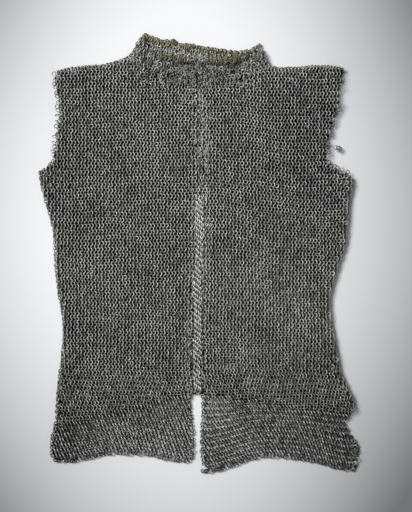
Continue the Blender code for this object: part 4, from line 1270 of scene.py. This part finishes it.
for part, (low, high, body) in BORDER_PARTS.items():
    guide = ribbon_guide(LEFT_EDGE, low, high, *BORDER, looseness=1.2)
    lay_mail(f"front_border_{part}", guide, body=body, row_lift=0.0004, seed=7)
    top = min(high, ASLANT_TOP_share)
    guide = ribbon_guide(ASLANT_LINE, low, top, *ASLANT, looseness=0.6, drift=0.42, skew=-0.64)
    # These rings take the brighter copy of the steel: painted light
    lay_mail(f"front_aslant_{part}", guide, LIT_EDGE_STEEL, body=body, **ASLANT_MESH)

# Floor, light and camera

FLOOR_LEVEL = -0.0016
VIEW_MIDDLE = (0.01441, -0.0024)
VIEW_HEIGHT = 0.922
VIEW_WIDTH = 0.742
CAMERA_RISE = 2.6
SENSOR_WIDTH = 36
FLOOR_HALF = 3.0
# The floor's painted shade: its level at the middle, how it falls off toward the corners and the lower
# right, and its limits
FLOOR_SHADE = 1.02
FALL_ACROSS = 0.215
FALL_UP = 0.13
FALL_CORNERS = 0.12
FALL_RIGHT = 0.085
RISE_UP = 0.07
SHADE_LIMITS = (0.45, 0.972)
SHADE_POWER = 2.2
GREENER = 1.01
BLUER = 1.03
KEY_FROM = (-0.62, 0.42, 0.95)
ROOM_COLOR = (0.22, 0.222, 0.225, 1)


def add_floor():
    """A pale floor with painted shade: its colour darkens toward its corners, most of all at the lower
    right.
    """
    material, web, shader = principled("studio_floor")
    x, y = object_place(web)[1:]
    x = (x - VIEW_MIDDLE[0]) / (VIEW_WIDTH / 2)
    y = (y - VIEW_MIDDLE[1]) / (VIEW_HEIGHT / 2)
    falloff = x * x * FALL_ACROSS + y * y * FALL_UP + x * x * y * y * FALL_CORNERS
    shade = FLOOR_SHADE - falloff - x * FALL_RIGHT + y * RISE_UP
    shade = web.maths("POWER", web.clamped(shade, *SHADE_LIMITS), SHADE_POWER)
    tint = {0: shade, 1: shade * GREENER, 2: shade * BLUER}
    color = web.signal("ShaderNodeCombineColor", values=tint)
    link(web, color, shader, "Base Color")
    shader.inputs["Roughness"].default_value = 0.9
    shader.inputs["Specular IOR Level"].default_value = 0.0
    corners = [(a * FLOOR_HALF, b * FLOOR_HALF) for a, b in ((-1, -1), (1, -1), (1, 1), (-1, 1))]
    mesh = bpy.data.meshes.new("floor")
    mesh.from_pydata([(*corner, FLOOR_LEVEL) for corner in corners], [], [(0, 1, 2, 3)])
    mesh.materials.append(material)
    floor = bpy.data.objects.new("floor", mesh)
    bpy.context.scene.collection.objects.link(floor)


def add_light():
    """A soft key from the upper left, with the room's light from all round."""
    key = bpy.data.lights.new("key", "SUN")
    key.energy = 3.1
    key.angle = math.radians(24)
    lamp = bpy.data.objects.new("key", key)
    lamp.rotation_euler = Vector(KEY_FROM).to_track_quat("Z", "Y").to_euler()
    bpy.context.scene.collection.objects.link(lamp)
    world = bpy.data.worlds.new("room")
    bpy.context.scene.world = world
    world.use_nodes = True
    world.node_tree.nodes["Background"].inputs[0].default_value = ROOM_COLOR


def add_camera():
    camera = bpy.data.cameras.new("camera")
    camera.sensor_width = SENSOR_WIDTH
    camera.lens = SENSOR_WIDTH * CAMERA_RISE / VIEW_HEIGHT
    camera.clip_end = 20
    eye = bpy.data.objects.new("camera", camera)
    eye.location = (*VIEW_MIDDLE, FRONT_LEVEL + CAMERA_RISE)
    bpy.context.scene.collection.objects.link(eye)
    bpy.context.scene.camera = eye


for thing in list(bpy.data.objects):
    if thing.name in ("Cube", "Light", "Camera"):
        bpy.data.objects.remove(thing)
add_floor()
add_light()
add_camera()
bpy.context.scene.view_settings.view_transform = "Standard"
